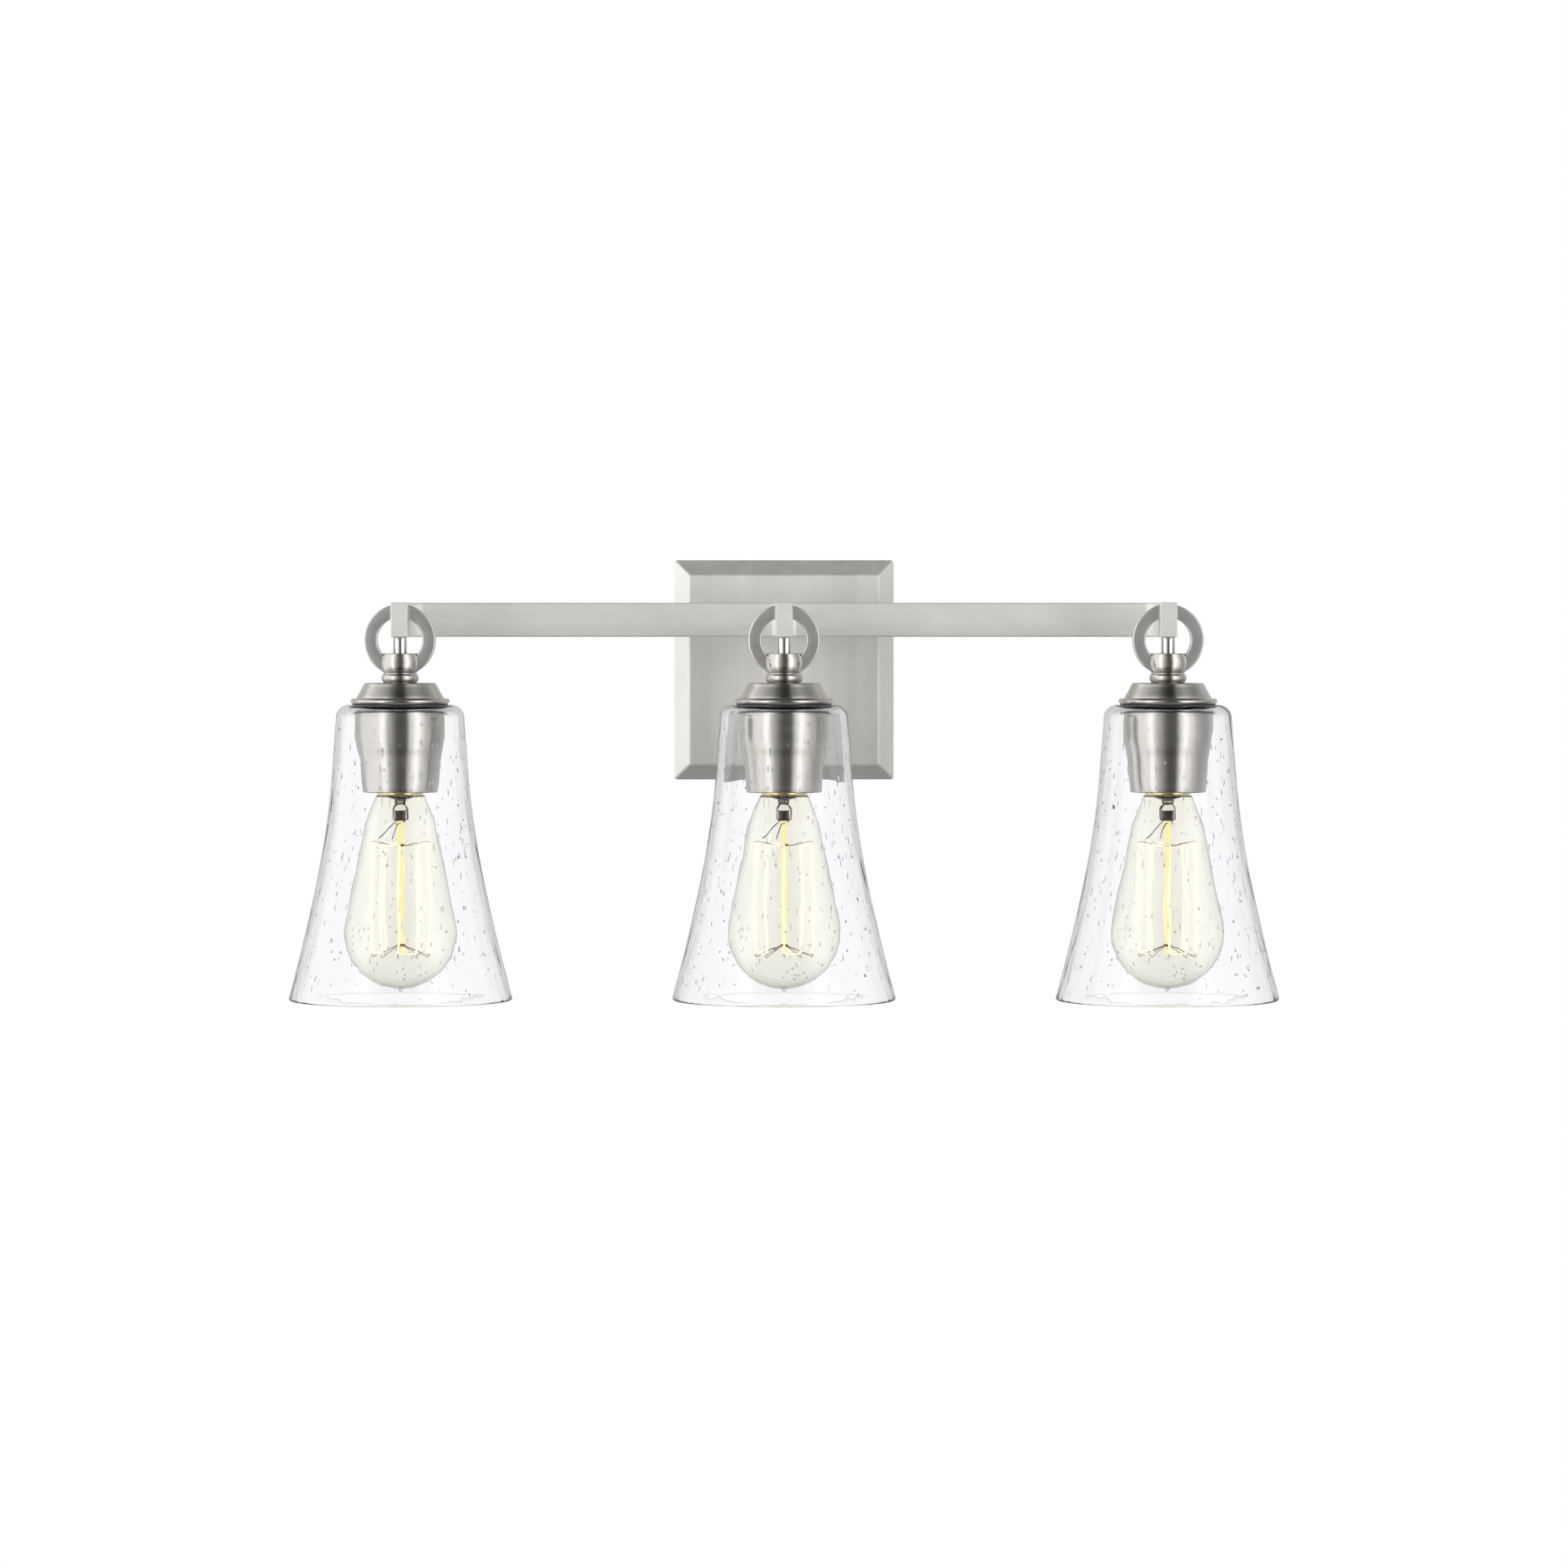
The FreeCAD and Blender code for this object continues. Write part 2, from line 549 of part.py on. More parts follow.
def centre_arm():
    """Straight tube from a foot on the plate, past the bar's halves, to the middle lamp."""
    body = new_body("centre_arm")
    foot = "(Dims.bar_standoff - Dims.plate_depth)"
    bar = rectangle(body, "XY", f"-{HALF_THICK}", f"-{ARM_LENGTH}", HALF_THICK, foot)
    feature(body, "Pad", bar, "Dims.bar_height")
    rounded(body, long_edges(size_of("Dims.bar_height")), "Dims.tube_edge")
    fill_corners(body)
    base = rectangle(
        body, "XZ", "-Dims.foot_width / 2", "-Dims.bar_height / 2 + Dims.tube_edge",
        "Dims.foot_width / 2", "Dims.bar_height / 2 - Dims.tube_edge", f"-{foot}",
    )
    feature(body, "Pad", base, "Dims.foot_thick", "One side")
    inside_x = f"({HALF_THICK} - Dims.tube_wall)"
    inside_z = "(Dims.bar_height / 2 - Dims.tube_wall)"
    hollow = rectangle(
        body, "XY", f"-{inside_x}", f"-{ARM_LENGTH} - 1", inside_x, f"{foot} - Dims.foot_thick",
    )
    feature(body, "Pocket", hollow, "Dims.bar_height - 2 * Dims.tube_wall")
    window = rectangle(body, "XY", "-Dims.bar_thick", "-Dims.bar_thick + Dims.tube_wall",
                       "Dims.bar_thick", "-Dims.tube_wall")
    feature(body, "Pocket", window, f"2 * {inside_z}")
    slot_x = "Dims.wire_slot_width / 2"
    slot = rectangle(body, "XZ", f"-{slot_x}", f"-{WIRE_SLOT_HEIGHT} / 2", slot_x,
                     f"{WIRE_SLOT_HEIGHT} / 2", f"-({foot} - Dims.foot_thick - 1)")
    feature(body, "Pocket", slot, "Dims.foot_thick + 2", "One side")
    holes = circles(
        body, "XZ",
        [(f"{s}Dims.foot_screw_pitch / 2", "0", "Dims.screw_thread / 2 + Dims.thread_gap") for s in ("-", "")],
        f"-({foot} - Dims.foot_thick - 1)",
    )
    feature(body, "Pocket", holes, "Dims.foot_thick + 2", "One side")
    stem_hole(body, "0")
    keep(place(body, "0", "-Dims.bar_standoff", "Dims.bar_centre"))


def fill_corners(body):
    """Welds, as round fillets, in the corners between the middle arm and the bar's front."""
    root, weld = "(Dims.bar_thick + Dims.weld_radius)", "Dims.weld_radius"
    inside, flare = f"({HALF_THICK} - 0.5)", f"({HALF_THICK} + Dims.weld_radius)"
    right = [
        (inside, "-Dims.bar_thick"), (inside, f"-{root}"), (HALF_THICK, f"-{root}", weld, "right"),
        (flare, "-Dims.bar_thick"),
    ]
    for points in (right, mirrored(right)):
        feature(body, "Pad", outline(body, "XY", points), "Dims.bar_height - 2 * Dims.tube_edge")


def arm_end_caps():
    """Plates that close the three arms' front ends."""
    caps = []
    for side in SIDES:
        cap = new_body("arm_end_cap_" + side)
        edge = rectangle(
            cap, "XZ", f"-{HALF_THICK}", "-Dims.bar_height / 2", HALF_THICK, "Dims.bar_height / 2",
        )
        feature(cap, "Pad", edge, "Dims.end_cap", "One side")
        rounded(cap, lambda e: all(v.Y < -0.1 for v in e.Vertexes), "Dims.tube_edge * 0.7")
        front = "-(Dims.reach + Dims.nose - Dims.end_cap)"
        caps.append(place(cap, lamp_x(side), front, "Dims.bar_centre"))
    group("arm_end_caps", caps)


# ----------------------------------------------------------------------------------------------------
# Ring, stem, neck and cap of one lamp
# ----------------------------------------------------------------------------------------------------
def ring(side):
    """Flat ring, open at the top where it grips the arm, and bored below for the wires."""
    body = new_body("ring_" + side)
    rounds = [("0", "0", "Dims.ring_outer / 2"), ("0", "0", "Dims.ring_inner / 2")]
    feature(body, "Pad", circles(body, "XZ", rounds), "Dims.ring_thick")
    half = size_of("Dims.ring_thick / 2")
    rounded(
        body, lambda e: e.Curve.TypeId == "Part::GeomCircle" and abs(abs(e.CenterOfMass.y) - half) < 0.01,
        "Dims.ring_edge",
    )
    side_x = f"({HALF_THICK} + Dims.thread_gap / 2)"
    notch = rectangle(
        body, "XZ", f"-{side_x}", f"{BAR_BOTTOM} - {RING_Z}", side_x, "Dims.ring_outer",
    )
    feature(body, "Pocket", notch, "2 * Dims.ring_thick")
    bore = circles(body, "XY", [("0", "0", "Dims.stem_bore / 2")])
    feature(body, "Pocket", bore, "Dims.ring_outer", "One side")
    on_lamp(body, side, RING_Z)


def stem(side):
    """Plated tube from the arm to the neck. Its upper end is a thinner thread that enters the arm."""
    shoulder = f"({BAR_BOTTOM} - {NECK_TOP})"
    top = f"({shoulder} + Dims.tube_wall + Dims.stem_nut + 0.6)"
    bore, outer, thread = "Dims.stem_bore / 2", "Dims.stem_outer / 2", "Dims.spigot / 2"
    foot = "-Dims.stem_seat"
    profile = [(bore, foot), (outer, foot), (outer, shoulder), (thread, shoulder), (thread, top), (bore, top)]
    on_lamp(turned("stem_" + side, profile), side, NECK_TOP)


def stem_nuts():
    """Square nuts, held from turning by the arms' walls."""
    nuts = []
    for side in SIDES:
        nut = new_body("stem_nut_" + side)
        half = f"({HALF_THICK} - Dims.tube_wall - Dims.thread_gap)"
        block = rectangle(nut, "XY", f"-{half}", "-5", half, "5")
        feature(nut, "Pad", block, "Dims.stem_nut", "One side")
        bore = circles(nut, "XY", [("0", "0", "Dims.spigot / 2 + Dims.thread_gap / 2")])
        feature(nut, "Pocket", bore, "4 * Dims.stem_nut")
        nuts.append(place(nut, lamp_x(side), "-Dims.reach", f"{BAR_BOTTOM} + Dims.tube_wall"))
    group("stem_nuts", nuts)


def neck(side):
    """Turned neck: a bead and a ball, slotted so that the ring passes through it."""
    bead = "Dims.neck_bead_height"
    waist = f"({bead} + 0.5)"
    stem_bore = "(Dims.stem_outer / 2 + Dims.thread_gap / 2)"
    nipple_bore = "(Dims.nipple / 2 + Dims.thread_gap / 2)"
    seat_top = "(Dims.nipple_seat + 0.1)"
    seat_foot = f"({NECK_HEIGHT} - Dims.stem_seat - 0.05)"
    profile = [
        (nipple_bore, "0"),
        ("Dims.neck_foot", "0", "Dims.neck_bead_round", "left"),
        ("Dims.neck_waist", bead),
        ("Dims.neck_waist", waist, "Dims.neck_ball_round", "left"),
        ("Dims.neck_top", NECK_HEIGHT),
        (stem_bore, NECK_HEIGHT), (stem_bore, seat_foot),
        ("Dims.stem_bore / 2", seat_foot), ("Dims.stem_bore / 2", seat_top),
        (nipple_bore, seat_top),
    ]
    body = turned("neck_" + side, profile)
    centre = f"({RING_Z} - {CAP_TOP})"
    gap = "Dims.thread_gap"
    slot = circles(body, "XZ", [
        ("0", centre, f"Dims.ring_outer / 2 + {gap}"), ("0", centre, f"Dims.ring_inner / 2 - {gap}"),
    ])
    feature(body, "Pocket", slot, f"Dims.ring_thick + 2 * {gap}")
    on_lamp(body, side, CAP_TOP)


def cap(side):
    """Spun cap that covers the top of the shade, with a rolled lip."""
    hole = "(Dims.nipple / 2 + Dims.thread_gap / 2)"
    round_top = "Dims.cap_top_round"
    lip_top = "-(Dims.cap_cone_height + 0.2)"
    inside = "(Dims.cap_cone - Dims.cap_wall - 0.2)"
    profile = [
        (hole, "0"), (f"(Dims.cap_top - {round_top})", "0", round_top, "right"),
        ("Dims.cap_top", f"-{round_top}"), ("Dims.cap_cone", "-Dims.cap_cone_height"),
        ("Dims.cap_lip", lip_top, "Dims.cap_lip_round", "right"),
        ("Dims.cap_lip", "-Dims.cap_height"),
        (f"({inside} - 1.2)", "-Dims.cap_height"), (f"({inside} - 1.2)", "-(Dims.cap_cone_height + 1.2)"),
        (inside, "-Dims.cap_cone_height"),
        ("(Dims.cap_top - Dims.cap_wall - 0.2)", "-Dims.cap_wall"), (hole, "-Dims.cap_wall"),
    ]
    on_lamp(turned("cap_" + side, profile), side, CAP_TOP)


def shade_gaskets():
    """Thin rings between the caps' lips and the glass."""
    gaskets = []
    for side in SIDES:
        inner, outer = "(Dims.cap_cone - Dims.cap_wall - 1.4)", "(Dims.cap_lip - 0.4)"
        profile = [(inner, "0"), (outer, "0"), (outer, "-Dims.gasket"), (inner, "-Dims.gasket")]
        gasket = turned("shade_gasket_" + side, profile)
        gaskets.append(place(gasket, lamp_x(side), "-Dims.reach", f"{SHADE_TOP} + Dims.gasket"))
    group("shade_gaskets", gaskets)


def socket_nipples():
    """Threaded nipples that screw the collars, caps and necks together."""
    nipples = []
    for side in SIDES:
        bore, outer, foot = "Dims.nipple_bore / 2", "Dims.nipple / 2", "-(Dims.cap_wall + Dims.collar_drop + 2.8)"
        profile = [
            (bore, foot), (outer, foot), (outer, "Dims.nipple_seat"), (bore, "Dims.nipple_seat"),
        ]
        nipple = turned("socket_nipple_" + side, profile)
        nipples.append(place(nipple, lamp_x(side), "-Dims.reach", CAP_TOP))
    group("socket_nipples", nipples)


# ----------------------------------------------------------------------------------------------------
# Shade, husk and lampholder
# ----------------------------------------------------------------------------------------------------
def shade(side):
    """Bell of clear glass with a flat top, a round shoulder and a flared, fire-polished rim."""
    wall = "Dims.shade_wall"
    half = f"{wall} / 2"
    inner_rim, outer_rim = f"(Dims.rim_radius - {wall})", "Dims.rim_radius"
    profile = [
        ("Dims.shade_hole", "0"), ("Dims.shade_flat", "0", "Dims.shoulder_round", "right"),
        ("Dims.shoulder_radius", "-Dims.shoulder_drop"),
        ("Dims.body_radius", "-Dims.body_drop", "Dims.flare_bend", "left"),
        ("Dims.flare_radius", "-Dims.flare_drop", "Dims.rim_bend", "left"),
        (outer_rim, f"-Dims.shade_height + {half}", f"({half} + 0.001)", "right"),
        (inner_rim, f"-Dims.shade_height + {half}", f"(Dims.rim_bend + {wall})", "right"),
        (f"(Dims.flare_radius - {wall})", "-Dims.flare_drop", f"(Dims.flare_bend + {wall})", "right"),
        (f"(Dims.body_radius - {wall})", "-Dims.body_drop"),
        (f"(Dims.shoulder_radius - {wall})", "-Dims.shoulder_drop", f"(Dims.shoulder_round - {wall} + 0.6)", "left"),
        (f"(Dims.shade_flat - 0.4)", f"-{wall}"), ("Dims.shade_hole", f"-{wall}"),
    ]
    on_lamp(turned("shade_" + side, profile), side, SHADE_TOP)


def husk(side):
    """Tapered metal cup that screws up on the collar and clamps the shade."""
    wall = "Dims.husk_wall"
    profile = [
        ("(Dims.collar_radius + Dims.thread_gap)", "0"), ("Dims.husk_top", "0"),
        ("Dims.husk_top", "-Dims.husk_straight", "Dims.husk_curve", "right"),
        ("Dims.husk_mid", "-Dims.husk_mid_drop", "Dims.husk_curve", "left"),
        ("Dims.husk_low", "-Dims.husk_low_drop"), ("Dims.husk_end", "-Dims.husk_height"),
        (f"(Dims.husk_end - {wall})", "-Dims.husk_height"),
        (f"(Dims.husk_low - {wall})", "-Dims.husk_low_drop", f"(Dims.husk_curve + {wall})", "right"),
        (f"(Dims.husk_mid - {wall})", "-Dims.husk_mid_drop", f"(Dims.husk_curve - {wall})", "left"),
        (f"(Dims.husk_top - {wall})", "-Dims.husk_straight"),
        (f"(Dims.husk_top - {wall})", "-Dims.husk_flange"),
        ("(Dims.collar_radius + Dims.thread_gap)", "-Dims.husk_flange"),
    ]
    on_lamp(turned("husk_" + side, profile), side, HUSK_TOP)


def socket_collar(side):
    """Metal collar on the nipple: the husk screws on its outside, and the lampholder sits inside."""
    hole = "(Dims.nipple / 2 + Dims.thread_gap / 2)"
    shoulder = "-Dims.collar_drop"
    floor = "-(Dims.collar_drop + 2)"
    inside = "(Dims.collar_radius - Dims.collar_wall)"
    end = f"({HUSK_TOP} - Dims.husk_travel - {COLLAR_TOP})"
    profile = [
        (hole, "0"), ("Dims.collar_hub", "0"), ("Dims.collar_hub", shoulder),
        ("Dims.collar_radius", shoulder), ("Dims.collar_radius", end), (inside, end),
        (inside, floor), (hole, floor),
    ]
    on_lamp(turned("socket_collar_" + side, profile), side, COLLAR_TOP)


def socket_body(side):
    """Ceramic lampholder with a bore for the bulb and a passage for the wires."""
    top = f"({COLLAR_TOP} - Dims.collar_drop - 2 - {SOCKET_FLOOR})"
    outside = "(Dims.collar_radius - Dims.collar_wall - Dims.socket_gap)"
    end = f"({SOCKET_END} - {SOCKET_FLOOR})"
    recess = "(Dims.nipple / 2 + 0.6)"
    passage = "(Dims.nipple_bore / 2)"
    profile = [
        (recess, top), (outside, top), (outside, f"({end} + 0.8)"), (f"({outside} - 0.8)", end),
        ("Dims.socket_bore", end), ("Dims.socket_bore", "0"), ("0", "0"), ("0", "4"), (passage, "4"),
        (passage, f"({top} - 2)"), (recess, f"({top} - 2)"),
    ]
    on_lamp(turned("socket_body_" + side, profile), side, SOCKET_FLOOR)


def socket_liner(side):
    """Brass liner of the lampholder's bore."""
    outside = "(Dims.liner_inside + Dims.liner_wall)"
    end = f"({SOCKET_END} - {SOCKET_FLOOR} + 1)"
    profile = [
        ("6", "0"), (outside, "0"), (outside, end), ("Dims.liner_inside", end),
        ("Dims.liner_inside", "-Dims.liner_wall"), ("6", "-Dims.liner_wall"),
    ]
    on_lamp(turned("socket_liner_" + side, profile), side, SOCKET_FLOOR)


def socket_contact(side):
    """Brass centre contact, domed where the bulb's tip presses it."""
    low = "-Dims.contact_height + 0.05"
    profile = [
        ("0", low), ("2.2", low), ("3.6", "-Dims.contact_height + 1.2"), ("4.4", "-0.6"), ("4.4", "0"), ("0", "0"),
    ]
    on_lamp(turned("socket_contact_" + side, profile), side, SOCKET_FLOOR)


# ----------------------------------------------------------------------------------------------------
# Bulb. Each piece's own origin is on the axis, at the brass's lower edge.
# ----------------------------------------------------------------------------------------------------
def bulb_base(side):
    """Brass screw shell of the bulb, closed above by its black insulator."""
    inside = "(Dims.base_radius - Dims.base_wall)"
    seat = "(Dims.base_height - Dims.base_tip_height)"
    profile = [
        (inside, "0"), ("Dims.base_radius", "0"), ("Dims.base_radius", "Dims.base_thread"),
        ("(Dims.base_tip + 0.8)", seat), ("0", seat), ("0", f"({seat} - 1)"),
        ("Dims.base_tip", f"({seat} - 1)"), (inside, "(Dims.base_thread - 0.8)"),
    ]
    on_lamp(turned("bulb_base_" + side, profile), side, BULB_EDGE)


def bulb_tip(side):
    """Solder button at the end of the base."""
    low = "(Dims.base_height - Dims.base_tip_height)"
    profile = [
        ("0", low), ("Dims.base_tip", low), ("Dims.base_tip", f"({low} + 1)"),
        ("2", "Dims.base_height"), ("0", "Dims.base_height"),
    ]
    on_lamp(turned("bulb_tip_" + side, profile), side, BULB_EDGE)


def bulb_glass(side):
    """Pear-shaped glass: a straight cone that runs into a round end with a sealed tip."""
    wall = "Dims.envelope_wall"
    sphere, drop = "Dims.envelope_sphere", "Dims.envelope_drop"
    cosine, sine = "cos(Dims.envelope_tangent)", "sin(Dims.envelope_tangent)"
    stub = "(Dims.base_radius - Dims.base_wall - 0.15)"
    inner = f"({sphere} - {wall})"
    tip = "1.7"
    profile = [
        (f"({stub} - {wall})", "6"), (stub, "6"), (stub, "-0.05"),
        ("(Dims.base_radius - 0.1)", "-0.05", "1.9", "right"),
        ("Dims.envelope_neck", "-Dims.envelope_neck_drop"),
        ("Dims.envelope_upper", "-Dims.envelope_upper_drop"),
        (f"({sphere} * {cosine})", f"(-{drop} + {sphere} * {sine})", sphere, "right"),
        (tip, f"(-{drop} - sqrt({sphere} ^ 2 - {tip} ^ 2))"),
        ("0.7", f"(-{drop} - {sphere} - Dims.envelope_tip + 0.3)"),
        ("0", f"(-{drop} - {sphere} - Dims.envelope_tip)"), ("0", f"(-{drop} - {inner})", inner, "left"),
        (f"({inner} * {cosine})", f"(-{drop} + {inner} * {sine})"),
        (f"(Dims.envelope_upper - {wall})", "-Dims.envelope_upper_drop"),
        (f"(Dims.envelope_neck - {wall} - 0.1)", "(-Dims.envelope_neck_drop - 0.2)"),
        (f"({stub} - {wall})", "-1"),
    ]
    on_lamp(turned("bulb_glass_" + side, profile), side, BULB_EDGE)


def bulb_stem(side):
    """Glass stem press and the rod that carries the filament cage."""
    seat = "(Dims.base_radius - Dims.base_wall - Dims.envelope_wall - 0.3)"
    profile = [
        ("0", "6"), (seat, "6"), (seat, "4.6"), ("Dims.press_radius", "-2"),
        ("Dims.press_radius", "-(Dims.press_drop - 1.5)"),
        ("(Dims.press_radius - 1.5)", "-Dims.press_drop"), ("Dims.rod_radius", "-Dims.press_drop"),
        ("Dims.rod_radius", "-(Dims.rod_drop - 1)"), ("0", "-Dims.rod_drop"),
    ]
    on_lamp(turned("bulb_stem_" + side, profile), side, BULB_EDGE)


def bulb_filament(side):
    """Cage of upright filament strands between two spiders of support wire, with two lead-in wires."""
    body = new_body("bulb_filament_" + side, several=True)
    wire = "Dims.filament / 2"
    support = "Dims.support_wire / 2"
    hub = "(Dims.rod_radius + 0.05)"
    for level in ("-Dims.cage_top", "-Dims.cage_bottom + 3"):
        rounds = [("0", "0", f"({hub} + 0.7)"), ("0", "0", hub)]
        feature(body, "Pad", circles(body, "XY", rounds, level), "Dims.filament")
    first = []
    for level in ("-Dims.cage_top", "-Dims.cage_bottom + 3"):
        spoke = circles(body, "YZ", [("0", level, support)], f"({hub} + 0.3)")
        first.append(feature(body, "Pad", spoke, f"(Dims.cage_radius - {hub} - 0.3)", "One side"))
    top, foot = "-Dims.cage_top", "(Dims.cage_bottom - Dims.cage_top - 3)"
    strand = circles(body, "XY", [("Dims.cage_radius", "0", wire)], f"({top} + {wire})")
    first.append(feature(body, "Pad", strand, f"({foot} + Dims.filament)", "One side", True))
    pattern = body.newObject("PartDesign::PolarPattern", body.Name + "_cage")
    pattern.Originals = first
    pattern.Axis = ([f for f in body.Origin.OriginFeatures if f.Role == "Z_Axis"][0], [""])
    pattern.Angle = 360
    pattern.setExpression("Occurrences", "Dims.filament_count")
    body.Tip = pattern
    doc.recompute()
    leads = circles(body, "XY", [("2.6", "0", support), ("-2.6", "0", support)], "-(Dims.press_drop + 0.05)")
    feature(body, "Pad", leads, "(Dims.cage_top - Dims.press_drop)", "One side", True)
    on_lamp(body, side, BULB_EDGE)


# ----------------------------------------------------------------------------------------------------
# Wiring: leads of straight runs and round bends, made with Part's own functions
# ----------------------------------------------------------------------------------------------------
def tube_along(points, bends, diameter):
    """A round lead along straight runs, with each corner rounded to its own bend radius."""
    edges = []
    start = points[0]
    for before, corner, after, bend in zip(points, points[1:], points[2:], bends):
        back, ahead = (before - corner).normalize(), (after - corner).normalize()
        half_turn = (math.pi - back.getAngle(ahead)) / 2
        cut = bend * math.tan(half_turn)
        arc_start, arc_end = corner + back * cut, corner + ahead * cut
        to_centre = (back + ahead).normalize()
        nearest = corner + to_centre * (bend / math.cos(half_turn) - bend)
        edges.append(Part.LineSegment(start, arc_start).toShape())
        edges.append(Part.Arc(arc_start, nearest, arc_end).toShape())
        start = arc_end
    edges.append(Part.LineSegment(start, points[-1]).toShape())
    spine = Part.Wire(edges)
    section = Part.Wire(Part.makeCircle(diameter / 2, points[0], points[1] - points[0]))
    tube = spine.makePipeShell([section], True, False)
    solid = tube if tube.ShapeType == "Solid" else Part.Solid(tube)
    expected = spine.Length * math.pi * diameter**2 / 4
    if abs(solid.Volume / expected - 1) > 0.01:
        raise ValueError(f"a lead's volume is {solid.Volume:.1f} and not {expected:.1f} mm3")
    return solid


def lead_levels():
    """Height in the bar, and place in depth behind the plate, of each lamp's two leads. The black ones
    run above the white ones, and each turns down behind the plate in front of those above it."""
    pitch = size_of("Dims.lead_pitch")
    top = size_of(f"{BAR_TOP} - Dims.tube_wall - Dims.lead / 2 - 0.4")
    front = -size_of("Dims.plate_depth - Dims.plate_wall - Dims.lead - 1")
    order = [(colour, side) for colour in ("black", "white") for side in SIDES]
    return {
        key: (top - step * pitch, front + (len(order) - 1 - step) * pitch)
        for step, key in enumerate(order)
    }


def connector_place(colour):
    """Where a connector's mouth is: its middle, in the row frame."""
    depths = [depth for (c, _), (_, depth) in lead_levels().items() if c == colour]
    sign = -1 if colour == "black" else 1
    x = sign * size_of("Dims.connector_x")
    front = -size_of("Dims.plate_depth - Dims.plate_wall - Dims.connector_radius - 0.4")
    return Vector(x, max(sum(depths) / len(depths), front), -size_of("Dims.connector_drop"))


def lamp_leads():
    """One black and one white lead for each lamp, from the lampholder through stem, arm and plate."""
    reach, half_gap = size_of("Dims.reach"), size_of("Dims.lead") / 2 + 0.1
    bar_y = -size_of("Dims.bar_standoff + Dims.bar_thick / 2")
    low = size_of(SOCKET_FLOOR) + 6
    bend, sweep = size_of("Dims.lead_bend"), size_of("Dims.lead_sweep")
    levels = lead_levels()
    middle = {
        colour: sum(depth for (c, _), (_, depth) in levels.items() if c == colour) / len(SIDES)
        for colour in ("black", "white")
    }
    solids = []
    for (colour, side), (height, depth) in levels.items():
        x = SIDES[side] * size_of("Dims.spacing") + (half_gap if colour == "white" else -half_gap)
        mouth = connector_place(colour)
        points = [Vector(x, -reach, low), Vector(x, -reach, height)]
        bends = [bend]
        drop_x = x
        if side != "centre":
            drop_x = 0.0
            points += [Vector(x, bar_y, height), Vector(drop_x, bar_y, height)]
            bends += [sweep, bend]
        into = mouth.y + depth - middle[colour]
        points += [
            Vector(drop_x, depth, height), Vector(drop_x, depth, mouth.z + 16),
            Vector(mouth.x, into, mouth.z + 5), Vector(mouth.x, into, mouth.z - 5),
        ]
        bends += [bend, bend, bend]
        solids.append(tube_along(points, bends, size_of("Dims.lead")))
    part = doc.addObject("Part::Feature", "Lamp_leads")
    part.Label = "lamp_leads"
    part.Shape = Part.makeCompound(solids)
    keep(part)


def wire_connectors():
    """Two twist-on connectors, for the black and the white leads, and a third for the ground wire."""
    connectors = []
    places = [connector_place("black"), connector_place("white"), ground_mouth()]
    for name, where in zip(("black", "white", "ground"), places):
        radius, length = "Dims.connector_radius", "Dims.connector_length"
        bore = "(1.5 * Dims.lead_pitch)"
        profile = [
            (bore, "0"), (radius, "0"), (radius, "-4"), (f"({radius} * 0.62)", f"-{length}"),
            ("0", f"-{length}"), ("0", f"(-{length} * 0.6)"), (bore, f"(-{length} * 0.6)"),
        ]
        connector = turned("wire_connector_" + name, profile)
        connector.Placement.Base = where
        connectors.append(connector)
    group("wire_connectors", connectors)


def ground_mouth():
    """Where the ground connector's mouth is."""
    white = connector_place("white")
    return Vector(white.x + 3 * size_of("Dims.connector_radius"), white.y, white.z)


def ground_wire():
    """Bare copper wire from under the ground screw to its connector."""
    mouth = ground_mouth()
    y = -size_of("Dims.strap_thick + Dims.ground_lead / 2")
    clear = size_of("(Dims.screw_thread + Dims.ground_lead) / 2") + 0.1
    x = size_of("Dims.ground_x") + clear
    below = -size_of("Dims.strap_width") / 2 + 1.5
    points = [
        Vector(x, y, clear), Vector(x, y, below), Vector(mouth.x, mouth.y, mouth.z + 3.5),
        Vector(mouth.x, mouth.y, mouth.z - 5),
    ]
    part = doc.addObject("Part::Feature", "Ground_wire")
    part.Label = "ground_wire"
    part.Shape = tube_along(points, [2.0, 2.0], size_of("Dims.ground_lead"))
    keep(part)


# ----------------------------------------------------------------------------------------------------
# Assembly and export
# ----------------------------------------------------------------------------------------------------
def build():
    """Makes every sub-part."""
    backplate()
    crossbar()
    plate_screws()
    small_screws()
    half_bars()
    centre_arm()
    arm_end_caps()
    stem_nuts()
    shade_gaskets()
    socket_nipples()
    for side in SIDES:
        for piece in (ring, stem, neck, cap, shade, husk, socket_collar, socket_body, socket_liner,
                      socket_contact, bulb_base, bulb_tip, bulb_glass, bulb_stem, bulb_filament):
            piece(side)
    lamp_leads()
    wire_connectors()
    ground_wire()
    doc.recompute()


def check():
    """Stops if an object failed, or if a sub-part's shape is missing or broken."""
    bad = [o.Label for o in doc.Objects if "Invalid" in o.State or "Error" in o.State]
    if bad:
        raise ValueError(f"these objects failed: {bad}")
    for part in subparts:
        shape = part.Shape
        if shape.isNull() or not shape.isValid() or not shape.Solids or shape.Volume <= 0:
            raise ValueError(f"{part.Label} has no sound shape")


def export():
    """Writes each sub-part's shape to its own STEP file."""
    os.makedirs("parts", exist_ok=True)
    for part in subparts:
        part.Shape.exportStep(f"parts/{part.Label}.step")
        box = part.Shape.BoundBox
        print(f"{part.Label}: {len(part.Shape.Solids)} solids, {part.Shape.Volume:.0f} mm3, "
              f"{box.XLength:.1f} x {box.YLength:.1f} x {box.ZLength:.1f}")


build()
check()
export()
